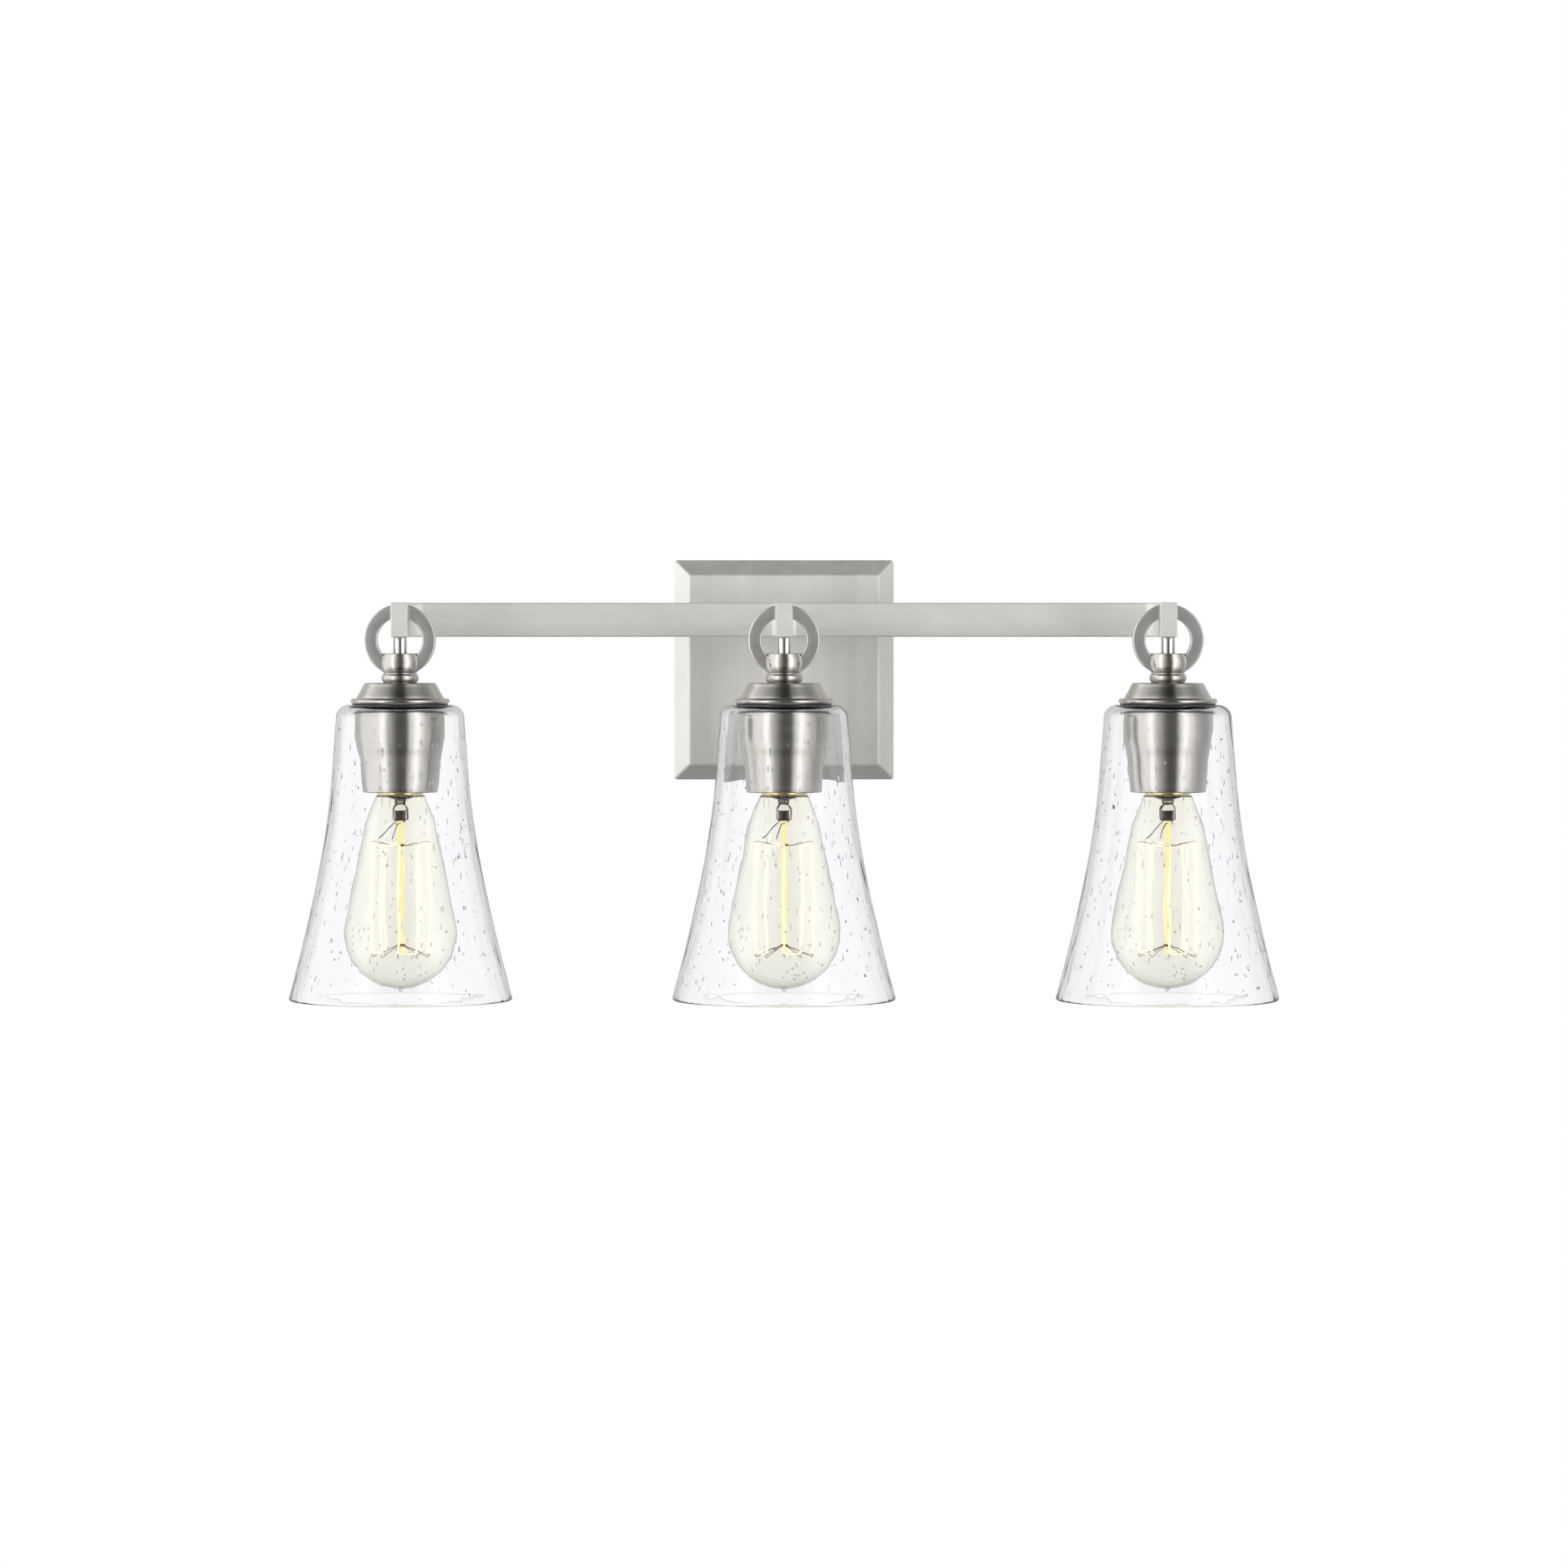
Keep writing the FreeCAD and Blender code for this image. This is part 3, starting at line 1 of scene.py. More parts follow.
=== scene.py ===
"""Looks for the three-light vanity bar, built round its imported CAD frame.

Each sub-assembly of the light is a class. It holds its sizes in millimetres, takes its place from the
CAD nodes it stands for, builds its meshes with Blender's modelling operators, and dresses them in its
finishes. Every finished piece is in metres, with its place in its mesh.
"""

from __future__ import annotations

import json
import logging
import math
import random
from collections.abc import Callable
from dataclasses import dataclass, field
from enum import Enum
from functools import lru_cache

import bpy
from mathutils import Matrix, Vector

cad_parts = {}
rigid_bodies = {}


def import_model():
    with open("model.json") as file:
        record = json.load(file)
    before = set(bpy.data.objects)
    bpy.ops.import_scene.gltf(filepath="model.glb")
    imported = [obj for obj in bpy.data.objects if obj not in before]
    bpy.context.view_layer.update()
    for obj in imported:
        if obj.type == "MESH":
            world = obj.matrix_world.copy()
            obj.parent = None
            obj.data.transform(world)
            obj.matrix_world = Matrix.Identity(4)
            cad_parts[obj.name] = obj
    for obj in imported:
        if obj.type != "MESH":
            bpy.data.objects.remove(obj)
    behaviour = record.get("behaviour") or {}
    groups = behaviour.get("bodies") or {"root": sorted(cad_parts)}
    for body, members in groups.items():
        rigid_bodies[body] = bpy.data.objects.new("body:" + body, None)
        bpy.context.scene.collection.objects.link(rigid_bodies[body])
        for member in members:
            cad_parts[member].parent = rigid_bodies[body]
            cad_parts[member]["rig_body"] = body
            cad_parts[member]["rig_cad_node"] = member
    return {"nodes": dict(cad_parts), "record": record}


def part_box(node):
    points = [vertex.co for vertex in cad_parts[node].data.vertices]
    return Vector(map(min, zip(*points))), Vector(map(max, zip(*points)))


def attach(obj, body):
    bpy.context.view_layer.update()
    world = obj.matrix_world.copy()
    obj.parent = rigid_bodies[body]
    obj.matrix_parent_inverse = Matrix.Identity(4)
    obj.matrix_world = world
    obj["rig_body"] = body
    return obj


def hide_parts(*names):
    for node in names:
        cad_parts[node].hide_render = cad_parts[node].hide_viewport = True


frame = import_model()

LOG = logging.getLogger("vanity_light")
MM = 0.001
LAMPS = ("left", "centre", "right")
MODEL_LAMP = "centre"
Point = tuple[float, float]
Colour = tuple[float, float, float]


# ----------------------------------------------------------------------------------------------------
# Places taken from the frame
# ----------------------------------------------------------------------------------------------------
@lru_cache(maxsize=None)
def extent(node: str) -> tuple[tuple[float, ...], tuple[float, ...]]:
    """Lowest and highest corner of a CAD node, measured once."""
    lowest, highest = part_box(node)
    return tuple(float(v) for v in lowest), tuple(float(v) for v in highest)


def low(node: str) -> Vector:
    """Lowest corner of a CAD node, in metres."""
    return Vector(extent(node)[0])


def high(node: str) -> Vector:
    """Highest corner of a CAD node, in metres."""
    return Vector(extent(node)[1])


def middle(node: str) -> Vector:
    """Centre of a CAD node's box, in metres."""
    return (low(node) + high(node)) / 2


def radius_of(node: str) -> float:
    """Radius of an upright round CAD node, or half the width of another, in millimetres."""
    return (high(node).x - low(node).x) / 2 / MM


def half_depth_of(node: str) -> float:
    """Half of a CAD node's size from wall to room, in millimetres."""
    return (high(node).y - low(node).y) / 2 / MM


def height_of(node: str) -> float:
    """Height of a CAD node, in millimetres."""
    return (high(node).z - low(node).z) / MM


def lamp_step(lamp: str) -> float:
    """How far a lamp is from the middle one along the bar, in metres.

    Args:
        lamp: one of LAMPS.
    Returns:
        The offset along X.
    """
    return middle(f"cap_{lamp}").x - middle(f"cap_{MODEL_LAMP}").x


# ----------------------------------------------------------------------------------------------------
# Modelling with operators
# ----------------------------------------------------------------------------------------------------
def clear_bench() -> None:
    """Leaves object mode with nothing selected, so that the next operator acts on its own piece only."""
    if bpy.context.mode != "OBJECT":
        bpy.ops.object.mode_set(mode="OBJECT")
    bpy.ops.object.select_all(action="DESELECT")


def pick(*pieces: bpy.types.Object) -> None:
    """Selects the given pieces and nothing else, and makes the last one active."""
    clear_bench()
    for piece in pieces:
        piece.select_set(True)
    bpy.context.view_layer.objects.active = pieces[-1]


def name_piece(name: str) -> bpy.types.Object:
    """Ends a piece's modelling: puts its place in its mesh, and names it.

    Args:
        name: the piece's name.
    Returns:
        The active object.
    """
    piece = bpy.context.view_layer.objects.active
    pick(piece)
    bpy.ops.object.transform_apply(location=True, rotation=True, scale=True)
    piece.name = name
    piece.data.name = name
    return piece


def tidy_mesh(piece: bpy.types.Object, merge: float = 0.004 * MM) -> None:
    """Merges doubled points, and turns every face outwards.

    Args:
        piece: the mesh to mend.
        merge: points nearer than this become one, in metres.
    """
    pick(piece)
    bpy.ops.object.mode_set(mode="EDIT")
    bpy.ops.mesh.select_all(action="SELECT")
    bpy.ops.mesh.remove_doubles(threshold=merge)
    bpy.ops.mesh.normals_make_consistent(inside=False)
    bpy.ops.object.mode_set(mode="OBJECT")


def smooth(piece: bpy.types.Object, angle: float = 32.0) -> None:
    """Shades a piece smoothly across edges flatter than the angle, in degrees."""
    pick(piece)
    bpy.ops.object.shade_smooth_by_angle(angle=math.radians(angle))


def soften_edges(piece: bpy.types.Object, width: float, segments: int = 2) -> None:
    """Bevels a piece's sharp edges.

    Args:
        piece: the piece.
        width: width of the bevel, in millimetres.
        segments: number of strips across it.
    """
    pick(piece)
    bevel = piece.modifiers.new("soft_edges", "BEVEL")
    bevel.width = width * MM
    bevel.segments = segments
    bevel.limit_method = "ANGLE"
    bevel.angle_limit = math.radians(40)
    bevel.use_clamp_overlap = True
    bpy.ops.object.modifier_apply(modifier=bevel.name)


def cut_away(piece: bpy.types.Object, cutter: bpy.types.Object) -> None:
    """Cuts the cutter's shape out of the piece, and scraps the cutter."""
    pick(piece)
    cut = piece.modifiers.new("cut", "BOOLEAN")
    cut.operation = "DIFFERENCE"
    cut.solver = "EXACT"
    cut.object = cutter
    bpy.ops.object.modifier_apply(modifier=cut.name)
    bpy.data.objects.remove(cutter)


def join_pieces(name: str, parts: list[bpy.types.Object]) -> bpy.types.Object:
    """Joins parts of one finish into one piece.

    Args:
        name: the joined piece's name.
        parts: the parts, which become one object.
    Returns:
        The joined piece.
    """
    pick(*parts)
    if len(parts) > 1:
        bpy.ops.object.join()
    return name_piece(name)


def block(size: Vector, centre: Vector) -> bpy.types.Object:
    """A box for a cutter or for a piece that is shaped further.

    Args:
        size: its three sides, in metres.
        centre: its centre, in metres.
    Returns:
        The box, in object mode.
    """
    clear_bench()
    bpy.ops.mesh.primitive_cube_add(size=1, location=centre)
    bpy.context.object.scale = size
    return name_piece("block")


class Axis(Enum):
    """The axis that a piece is turned about, as a lathe would hold it."""

    UPRIGHT = "z"
    TO_ROOM = "y"


@dataclass
class Outline:
    """Half section of a turned piece: points (radius, height) in millimetres, drawn as with a pen."""

    start: Point
    points: list[Point] = field(init=False)

    def __post_init__(self) -> None:
        """Puts the pen down."""
        self.points = [self.start]

    def line(self, radius: float, height: float, steps: int = 1) -> Outline:
        """Draws a straight line, in equal steps, to a point.

        Args:
            radius: the end's distance from the axis.
            height: the end's height.
            steps: how many parts the line has.
        Returns:
            This outline, so that calls can follow one another.
        """
        from_r, from_h = self.points[-1]
        for i in range(1, steps + 1):
            share = i / steps
            self.points.append((from_r + (radius - from_r) * share, from_h + (height - from_h) * share))
        return self

    def arc(self, radius: float, height: float, bend: float, left: bool, steps: int = 8) -> Outline:
        """Draws the short arc to a point.

        Args:
            radius: the end's distance from the axis.
            height: the end's height.
            bend: the arc's own radius. It is made as large as the arc needs.
            left: whether the arc's centre is on the left of the way there.
            steps: how many parts the arc has.
        Returns:
            This outline.
        """
        start, end = Vector(self.points[-1]), Vector((radius, height))
        half = (end - start) / 2
        bend = max(bend, half.length)
        rise = math.sqrt(max(bend**2 - half.length_squared, 0.0))
        across = Vector((-half.y, half.x)).normalized() * (rise if left else -rise)
        centre = (start + end) / 2 + across
        first = math.atan2(start.y - centre.y, start.x - centre.x)
        last = math.atan2(end.y - centre.y, end.x - centre.x)
        sweep = (last - first) % math.tau
        if not left:
            sweep -= math.tau
        if abs(sweep) > math.pi + 1e-6:
            sweep -= math.copysign(math.tau, sweep)
        for i in range(1, steps + 1):
            angle = first + sweep * i / steps
            self.points.append((centre.x + bend * math.cos(angle), centre.y + bend * math.sin(angle)))
        self.points[-1] = (radius, height)
        return self

    def closed(self) -> Outline:
        """Draws back to the first point, so that the piece has a wall all round."""
        self.points.append(self.start)
        return self

    def radius_at(self, height: float) -> float:
        """The outer radius at a height, in millimetres: the largest the outline reaches there."""
        found = [0.0]
        for (r0, h0), (r1, h1) in zip(self.points, self.points[1:]):
            if min(h0, h1) <= height <= max(h0, h1) and h0 != h1:
                found.append(r0 + (r1 - r0) * (height - h0) / (h1 - h0))
        return max(found)


def turn(
    name: str, outline: Outline, at: Vector, sides: int = 96, axis: Axis = Axis.UPRIGHT
) -> bpy.types.Object:
    """Turns an outline as a lathe does: a circle is extruded from point to point, and resized at each.

    Args:
        name: the new piece's name.
        outline: its half section. Where it starts or ends on the axis, the piece is closed there.
        at: where the section's height 0 is, on the axis, in metres.
        sides: how many sides each circle has.
        axis: the axis that it is turned about. Along TO_ROOM, heights count towards the room.
    Returns:
        The turned piece.
    """
    clear_bench()
    along = Vector((0, 0, 1)) if axis is Axis.UPRIGHT else Vector((0, -1, 0))
    tilt = (0, 0, 0) if axis is Axis.UPRIGHT else (math.pi / 2, 0, 0)
    points = list(outline.points)
    pole = points.pop(0) if points[0][0] < 1e-6 else None
    radius, height = points[0]
    bpy.ops.mesh.primitive_circle_add(
        vertices=sides, radius=radius * MM, location=at + along * height * MM, rotation=tilt,
        fill_type="TRIFAN" if pole else "NOTHING", enter_editmode=True,
    )
    if pole:
        lift_fan_centre(along * (pole[1] - height) * MM)
    for next_radius, next_height in points[1:]:
        centre = at + along * next_height * MM
        bpy.ops.mesh.extrude_edges_move(
            TRANSFORM_OT_translate={"value": along * (next_height - height) * MM}
        )
        scale = max(next_radius, 0.0) / radius
        grow = (scale, scale, 1) if axis is Axis.UPRIGHT else (scale, 1, scale)
        if scale != 1.0:
            bpy.ops.transform.resize(value=grow, center_override=centre)
        if next_radius < 1e-6:
            bpy.ops.mesh.merge(type="CENTER")
            break
        radius, height = next_radius, next_height
    piece = name_piece(name)
    tidy_mesh(piece)
    smooth(piece)
    return piece


def lift_fan_centre(shift: Vector) -> None:
    """Moves the centre point of a new fan of triangles, and then selects the fan's rim.

    Args:
        shift: how far the centre point moves, in metres.
    """
    fan = bpy.context.edit_object
    bpy.ops.object.mode_set(mode="OBJECT")
    centre = min(fan.data.vertices, key=lambda v: v.co.length)
    centre.co += fan.rotation_euler.to_matrix().inverted() @ shift
    bpy.ops.object.mode_set(mode="EDIT")
    bpy.ops.mesh.select_mode(type="FACE")
    bpy.ops.mesh.select_all(action="SELECT")
    bpy.ops.mesh.region_to_loop()


def wire(name: str, path: list[Vector], thickness: float, sides: int = 3) -> bpy.types.Object:
    """A round wire along a path.

    Args:
        name: the new piece's name.
        path: its points, in metres.
        thickness: its diameter, in millimetres.
        sides: Blender's bevel resolution. More makes it rounder.
    Returns:
        The wire, as a mesh.
    """
    clear_bench()
    curve = bpy.data.curves.new(name, "CURVE")
    curve.dimensions = "3D"
    curve.bevel_depth = thickness * MM / 2
    curve.bevel_resolution = sides
    curve.use_fill_caps = True
    spline = curve.splines.new("POLY")
    spline.points.add(len(path) - 1)
    for point, place in zip(spline.points, path):
        point.co = (*place, 1.0)
    strand = bpy.data.objects.new(name, curve)
    bpy.context.collection.objects.link(strand)
    pick(strand)
    bpy.ops.object.convert(target="MESH")
    piece = name_piece(name)
    smooth(piece, 60.0)
    return piece


def copy_to(piece: bpy.types.Object, name: str, shift: Vector) -> bpy.types.Object:
    """A copy of a finished piece with its own mesh, moved by a shift.

    Args:
        piece: the piece to copy.
        name: the copy's name.
        shift: how far it moves, in metres.
    Returns:
        The copy.
    """
    copy = piece.copy()
    copy.data = piece.data.copy()
    copy.data.transform(Matrix.Translation(shift))
    copy.name = name
    copy.data.name = name
    bpy.context.collection.objects.link(copy)
    return copy


# ----------------------------------------------------------------------------------------------------
# Shader work
# ----------------------------------------------------------------------------------------------------
class Nodes:
    """A node tree, with short ways to add and join its nodes."""

    def __init__(self, tree: bpy.types.NodeTree) -> None:
        """Takes the tree to work on."""
        self.tree = tree

    def add(self, kind: str, **settings: object) -> bpy.types.Node:
        """Adds a node.

        Args:
            kind: the node's Blender type, without the ShaderNode that it starts with.
            settings: properties of the node.
        Returns:
            The node.
        """
        node = self.tree.nodes.new("ShaderNode" + kind)
        for key, value in settings.items():
            setattr(node, key, value)
        return node

    def join(self, source: bpy.types.NodeSocket, target: bpy.types.NodeSocket) -> None:
        """Links an output to an input."""
        self.tree.links.new(source, target)

    def math(self, operation: str, first: object, second: object = None) -> bpy.types.NodeSocket:
        """Adds a Math node.

        Args:
            operation: the Math node's operation.
            first: a socket or a number.
            second: a socket or a number, where the operation takes two.
        Returns:
            Its output.
        """
        node = self.add("Math", operation=operation)
        for slot, value in zip(node.inputs, (first, second)):
            if isinstance(value, bpy.types.NodeSocket):
                self.join(value, slot)
            elif value is not None:
                slot.default_value = value
        return node.outputs[0]

    def group(self, tree: bpy.types.NodeTree, **values: object) -> bpy.types.Node:
        """Places a node group and sets its inputs by name."""
        node = self.add("Group", node_tree=tree)
        for key, value in values.items():
            node.inputs[key].default_value = value
        return node


class Effects:
    """Node groups that several finishes use, each built once."""

    built: dict[str, bpy.types.NodeTree] = {}

    @classmethod
    def start(cls, name: str, inputs: dict[str, str], outputs: list[str]) -> Nodes:
        """Makes an empty group.

        Args:
            name: the group's name.
            inputs: socket names, each with its type's last word.
            outputs: names of its float outputs.
        Returns:
            The group's tree, with nodes for its inputs and outputs.
        """
        tree = bpy.data.node_groups.new(name, "ShaderNodeTree")
        for socket, kind in inputs.items():
            tree.interface.new_socket(name=socket, in_out="INPUT", socket_type="NodeSocket" + kind)
        for socket in outputs:
            tree.interface.new_socket(name=socket, in_out="OUTPUT", socket_type="NodeSocketFloat")
        tree.nodes.new("NodeGroupInput")
        tree.nodes.new("NodeGroupOutput")
        cls.built[name] = tree
        return Nodes(tree)

    @classmethod
    def brushed_grain(cls) -> bpy.types.NodeTree:
        """Fine brush lines: noise drawn out along one way. Outputs Height and a softer Sheen mask."""
        if "brushed_grain" in cls.built:
            return cls.built["brushed_grain"]
        bench = cls.start(
            "brushed_grain", {"Stretch": "Vector", "Fineness": "Float"}, ["Height", "Sheen"]
        )
        entry, leave = bench.tree.nodes["Group Input"], bench.tree.nodes["Group Output"]
        place = bench.add("TexCoord")
        drawn = bench.add("VectorMath", operation="MULTIPLY")
        bench.join(place.outputs["Object"], drawn.inputs[0])
        bench.join(entry.outputs["Stretch"], drawn.inputs[1])
        for output, scale, detail in (("Height", 1.0, 3.0), ("Sheen", 0.12, 2.0)):
            noise = bench.add("TexNoise")
            noise.inputs["Detail"].default_value = detail
            bench.join(drawn.outputs[0], noise.inputs["Vector"])
            bench.join(bench.math("MULTIPLY", entry.outputs["Fineness"], scale), noise.inputs["Scale"])
            bench.join(noise.outputs["Fac"], leave.inputs[output])
        return bench.tree

    @classmethod
    def handling(cls) -> bpy.types.NodeTree:
        """Faint cloudy marks of handling and plating, as one mask about a half."""
        if "handling" in cls.built:
            return cls.built["handling"]
        bench = cls.start("handling", {"Size": "Float", "Amount": "Float"}, ["Mask"])
        entry, leave = bench.tree.nodes["Group Input"], bench.tree.nodes["Group Output"]
        place = bench.add("TexCoord")
        noise = bench.add("TexNoise")
        noise.inputs["Detail"].default_value = 4.0
        noise.inputs["Roughness"].default_value = 0.6
        bench.join(place.outputs["Object"], noise.inputs["Vector"])
        bench.join(bench.math("DIVIDE", 1.0, entry.outputs["Size"]), noise.inputs["Scale"])
        centred = bench.math("SUBTRACT", noise.outputs["Fac"], 0.5)
        scaled = bench.math("MULTIPLY", centred, entry.outputs["Amount"])
        bench.join(bench.math("ADD", scaled, 0.5), leave.inputs["Mask"])
        return bench.tree

    @classmethod
    def blown_waves(cls) -> bpy.types.NodeTree:
        """Slow waves of blown glass, drawn out from top to rim, as a Height."""
        if "blown_waves" in cls.built:
            return cls.built["blown_waves"]
        bench = cls.start("blown_waves", {"Width": "Float"}, ["Height"])
        entry, leave = bench.tree.nodes["Group Input"], bench.tree.nodes["Group Output"]
        place = bench.add("TexCoord")
        drawn = bench.add("VectorMath", operation="MULTIPLY")
        drawn.inputs[1].default_value = (1.0, 1.0, 0.3)
        noise = bench.add("TexNoise")
        noise.inputs["Detail"].default_value = 1.5
        bench.join(place.outputs["Object"], drawn.inputs[0])
        bench.join(drawn.outputs[0], noise.inputs["Vector"])
        bench.join(bench.math("DIVIDE", 1.0, entry.outputs["Width"]), noise.inputs["Scale"])
        bench.join(noise.outputs["Fac"], leave.inputs["Height"])
        return bench.tree


class Brushing(Enum):
    """Which way a metal is brushed: how far its grain is drawn out along each axis."""

    ALONG_BAR = (0.015, 1.0, 1.0)
    UPRIGHT = (1.0, 1.0, 0.015)
    AROUND = (0.015, 0.015, 1.0)
    NONE = (1.0, 1.0, 1.0)


def start_material(name: str) -> tuple[bpy.types.Material, Nodes, bpy.types.Node]:
    """An empty material with a Principled shader on its output.

    Args:
        name: the material's name.
    Returns:
        The material, its nodes, and the Principled shader.
    """
    material = bpy.data.materials.new(name)
    material.use_nodes = True
    material.node_tree.nodes.clear()
    bench = Nodes(material.node_tree)
    shader = bench.add("BsdfPrincipled")
    output = bench.add("OutputMaterial")
    bench.join(shader.outputs["BSDF"], output.inputs["Surface"])
    return material, bench, shader


def blend_colours(
    bench: Nodes, mask: bpy.types.NodeSocket, dark: Colour, light: Colour
) -> bpy.types.NodeSocket:
    """Mixes two colours by a mask.

    Args:
        bench: the material's nodes.
        mask: how much of the light colour shows.
        dark: the colour at 0.
        light: the colour at 1.
    Returns:
        The mixed colour.
    """
    mix = bench.add("Mix", data_type="RGBA")
    mix.inputs["A"].default_value = (*dark, 1.0)
    mix.inputs["B"].default_value = (*light, 1.0)
    bench.join(mask, mix.inputs["Factor"])
    return mix.outputs["Result"]


def spread(bench: Nodes, mask: bpy.types.NodeSocket, lowest: float, highest: float) -> bpy.types.NodeSocket:
    """Maps a mask from 0..1 to lowest..highest."""
    node = bench.add("MapRange")
    node.inputs["To Min"].default_value = lowest
    node.inputs["To Max"].default_value = highest
    bench.join(mask, node.inputs["Value"])
    return node.outputs["Result"]


def raise_bump(
    bench: Nodes, shader: bpy.types.Node, height: bpy.types.NodeSocket, strength: float, depth: float
) -> None:
    """Gives a shader a bump.

    Args:
        bench: the material's nodes.
        shader: the shader whose Normal takes it.
        height: the bump's height.
        strength: how strongly it acts.
        depth: how deep it is, in millimetres.
    """
    bump = bench.add("Bump")
    bump.inputs["Strength"].default_value = strength
    bump.inputs["Distance"].default_value = depth * MM
    bench.join(height, bump.inputs["Height"])
    bench.join(bump.outputs["Normal"], shader.inputs["Normal"])


@dataclass(frozen=True)
class Metal:
    """A plated or plain metal with brush lines and faint handling marks."""

    name: str
    colour: Colour
    roughness: float
    brushing: Brushing = Brushing.NONE
    fineness: float = 900.0
    grain: float = 0.12
    tone: float = 0.06

    def material(self) -> bpy.types.Material:
        """Builds the material.

        Returns:
            The new material.
        """
        material, bench, shader = start_material(self.name)
        shader.inputs["Metallic"].default_value = 1.0
        lines = bench.group(
            Effects.brushed_grain(), Stretch=self.brushing.value, Fineness=self.fineness
        )
        marks = bench.group(Effects.handling(), Size=0.03, Amount=1.0)
        tones = bench.math("MULTIPLY", marks.outputs["Mask"], lines.outputs["Sheen"])
        dark = tuple(c * (1 - self.tone) for c in self.colour)
        light = tuple(min(c * (1 + self.tone), 1.0) for c in self.colour)
        tones = spread(bench, tones, -0.4, 2.0)
        bench.join(blend_colours(bench, tones, dark, light), shader.inputs["Base Color"])
        rough = spread(bench, lines.outputs["Sheen"], self.roughness - 0.06, self.roughness + 0.06)
        bench.join(rough, shader.inputs["Roughness"])
        raise_bump(bench, shader, lines.outputs["Height"], self.grain, 0.02)
        return material


@dataclass(frozen=True)
class Moulded:
    """Plastic, rubber, paint or glazed ceramic, with a fine skin and soft marks."""

    name: str
    colour: Colour
    roughness: float
    coat: float = 0.0
    skin: float = 0.1

    def material(self) -> bpy.types.Material:
        """Builds the material.

        Returns:
            The new material.
        """
        material, bench, shader = start_material(self.name)
        shader.inputs["Coat Weight"].default_value = self.coat
        lines = bench.group(Effects.brushed_grain(), Stretch=Brushing.NONE.value, Fineness=700.0)
        marks = bench.group(Effects.handling(), Size=0.012, Amount=1.6)
        dark = tuple(c * 0.88 for c in self.colour)
        tones = blend_colours(bench, marks.outputs["Mask"], dark, self.colour)
        bench.join(tones, shader.inputs["Base Color"])
        rough = spread(bench, marks.outputs["Mask"], self.roughness - 0.05, self.roughness + 0.08)
        bench.join(rough, shader.inputs["Roughness"])
        raise_bump(bench, shader, lines.outputs["Height"], self.skin, 0.03)
        return material


@dataclass(frozen=True)
class Glass:
    """Clear or tinted glass with the slow waves of blowing, or an air bubble inside such glass."""

    name: str
    tint: Colour
    ior: float = 1.5
    wave_width: float = 0.012
    wave_strength: float = 0.0
    roughness: float = 0.0

    def material(self) -> bpy.types.Material:
        """Builds the material.

        Returns:
            The new material.
        """
        material, bench, shader = start_material(self.name)
        shader.inputs["Transmission Weight"].default_value = 1.0
        shader.inputs["Metallic"].default_value = 0.0
        shader.inputs["IOR"].default_value = self.ior
        marks = bench.group(Effects.handling(), Size=0.02, Amount=1.0)
        dark = tuple(c * 0.985 for c in self.tint)
        tints = blend_colours(bench, marks.outputs["Mask"], dark, self.tint)
        bench.join(tints, shader.inputs["Base Color"])
        rough = spread(bench, marks.outputs["Mask"], self.roughness, self.roughness + 0.015)
        bench.join(rough, shader.inputs["Roughness"])
        if self.wave_strength:
            waves = bench.group(Effects.blown_waves(), Width=self.wave_width)
            raise_bump(bench, shader, waves.outputs["Height"], self.wave_strength, 1.0)
        return material


@dataclass(frozen=True)
class GlowingWire:
    """Hot filament wire: it glows unevenly along its length. The bulb's glass rod takes it too, as a painted
    glow.
    """

    name: str
    colour: Colour
    glow: Colour
    strength: float

    def material(self) -> bpy.types.Material:
        """Builds the material.

        Returns:
            The new material.
        """
        material, bench, shader = start_material(self.name)
        shader.inputs["Roughness"].default_value = 0.5
        shader.inputs["Base Color"].default_value = (*self.colour, 1.0)
        shader.inputs["Emission Strength"].default_value = self.strength
        marks = bench.group(Effects.handling(), Size=0.006, Amount=1.5)
        dim = tuple(c * 0.82 for c in self.glow)
        glow = blend_colours(bench, marks.outputs["Mask"], dim, self.glow)
        bench.join(glow, shader.inputs["Emission Color"])
        return material


class Dresser:
    """Puts finishes on pieces, building each material once."""

    made: dict[str, bpy.types.Material] = {}

    @classmethod
    def dress(
        cls, piece: bpy.types.Object, finish: Metal | Moulded | Glass | GlowingWire, slot: str
    ) -> None:
        """Gives a piece its finish.

        Args:
            piece: the piece.
            finish: its finish.
            slot: the record's material slot. Not used.
        """
        if finish.name not in cls.made:
            cls.made[finish.name] = finish.material()
        material = cls.made[finish.name]
        if piece.data.materials:
            for index in range(len(piece.data.materials)):
                piece.data.materials[index] = material
        else:
            piece.data.materials.append(material)


# ----------------------------------------------------------------------------------------------------
# The light's own finishes
# ----------------------------------------------------------------------------------------------------
# The one satin nickel finish comes in lit and shaded copies: the plate and the bar are painted lighter, and
# the ring and the turned parts painted darker, as painted light and shade for how much light each shape sends
# back. Only their roughness and brushing differ for real.
NICKEL_PAINTED_DARKER: Colour = (0.56, 0.54, 0.50)
SATIN_PLATE_PAINTED_LIGHTER = Metal("satin_nickel_plate_painted_lighter", (0.95, 0.94, 0.91), 0.68, Brushing.UPRIGHT)
SATIN_BAR_PAINTED_LIGHTER = Metal("satin_nickel_bar_painted_lighter", (0.95, 0.94, 0.90), 0.70, Brushing.ALONG_BAR)
SATIN_RING_PAINTED_DARKER = Metal("satin_nickel_ring_painted_darker", (0.72, 0.71, 0.69), 0.40, Brushing.AROUND)
SATIN_TURNED_PAINTED_DARKER = Metal("satin_nickel_turned_painted_darker", NICKEL_PAINTED_DARKER, 0.21, Brushing.AROUND, 1400.0)
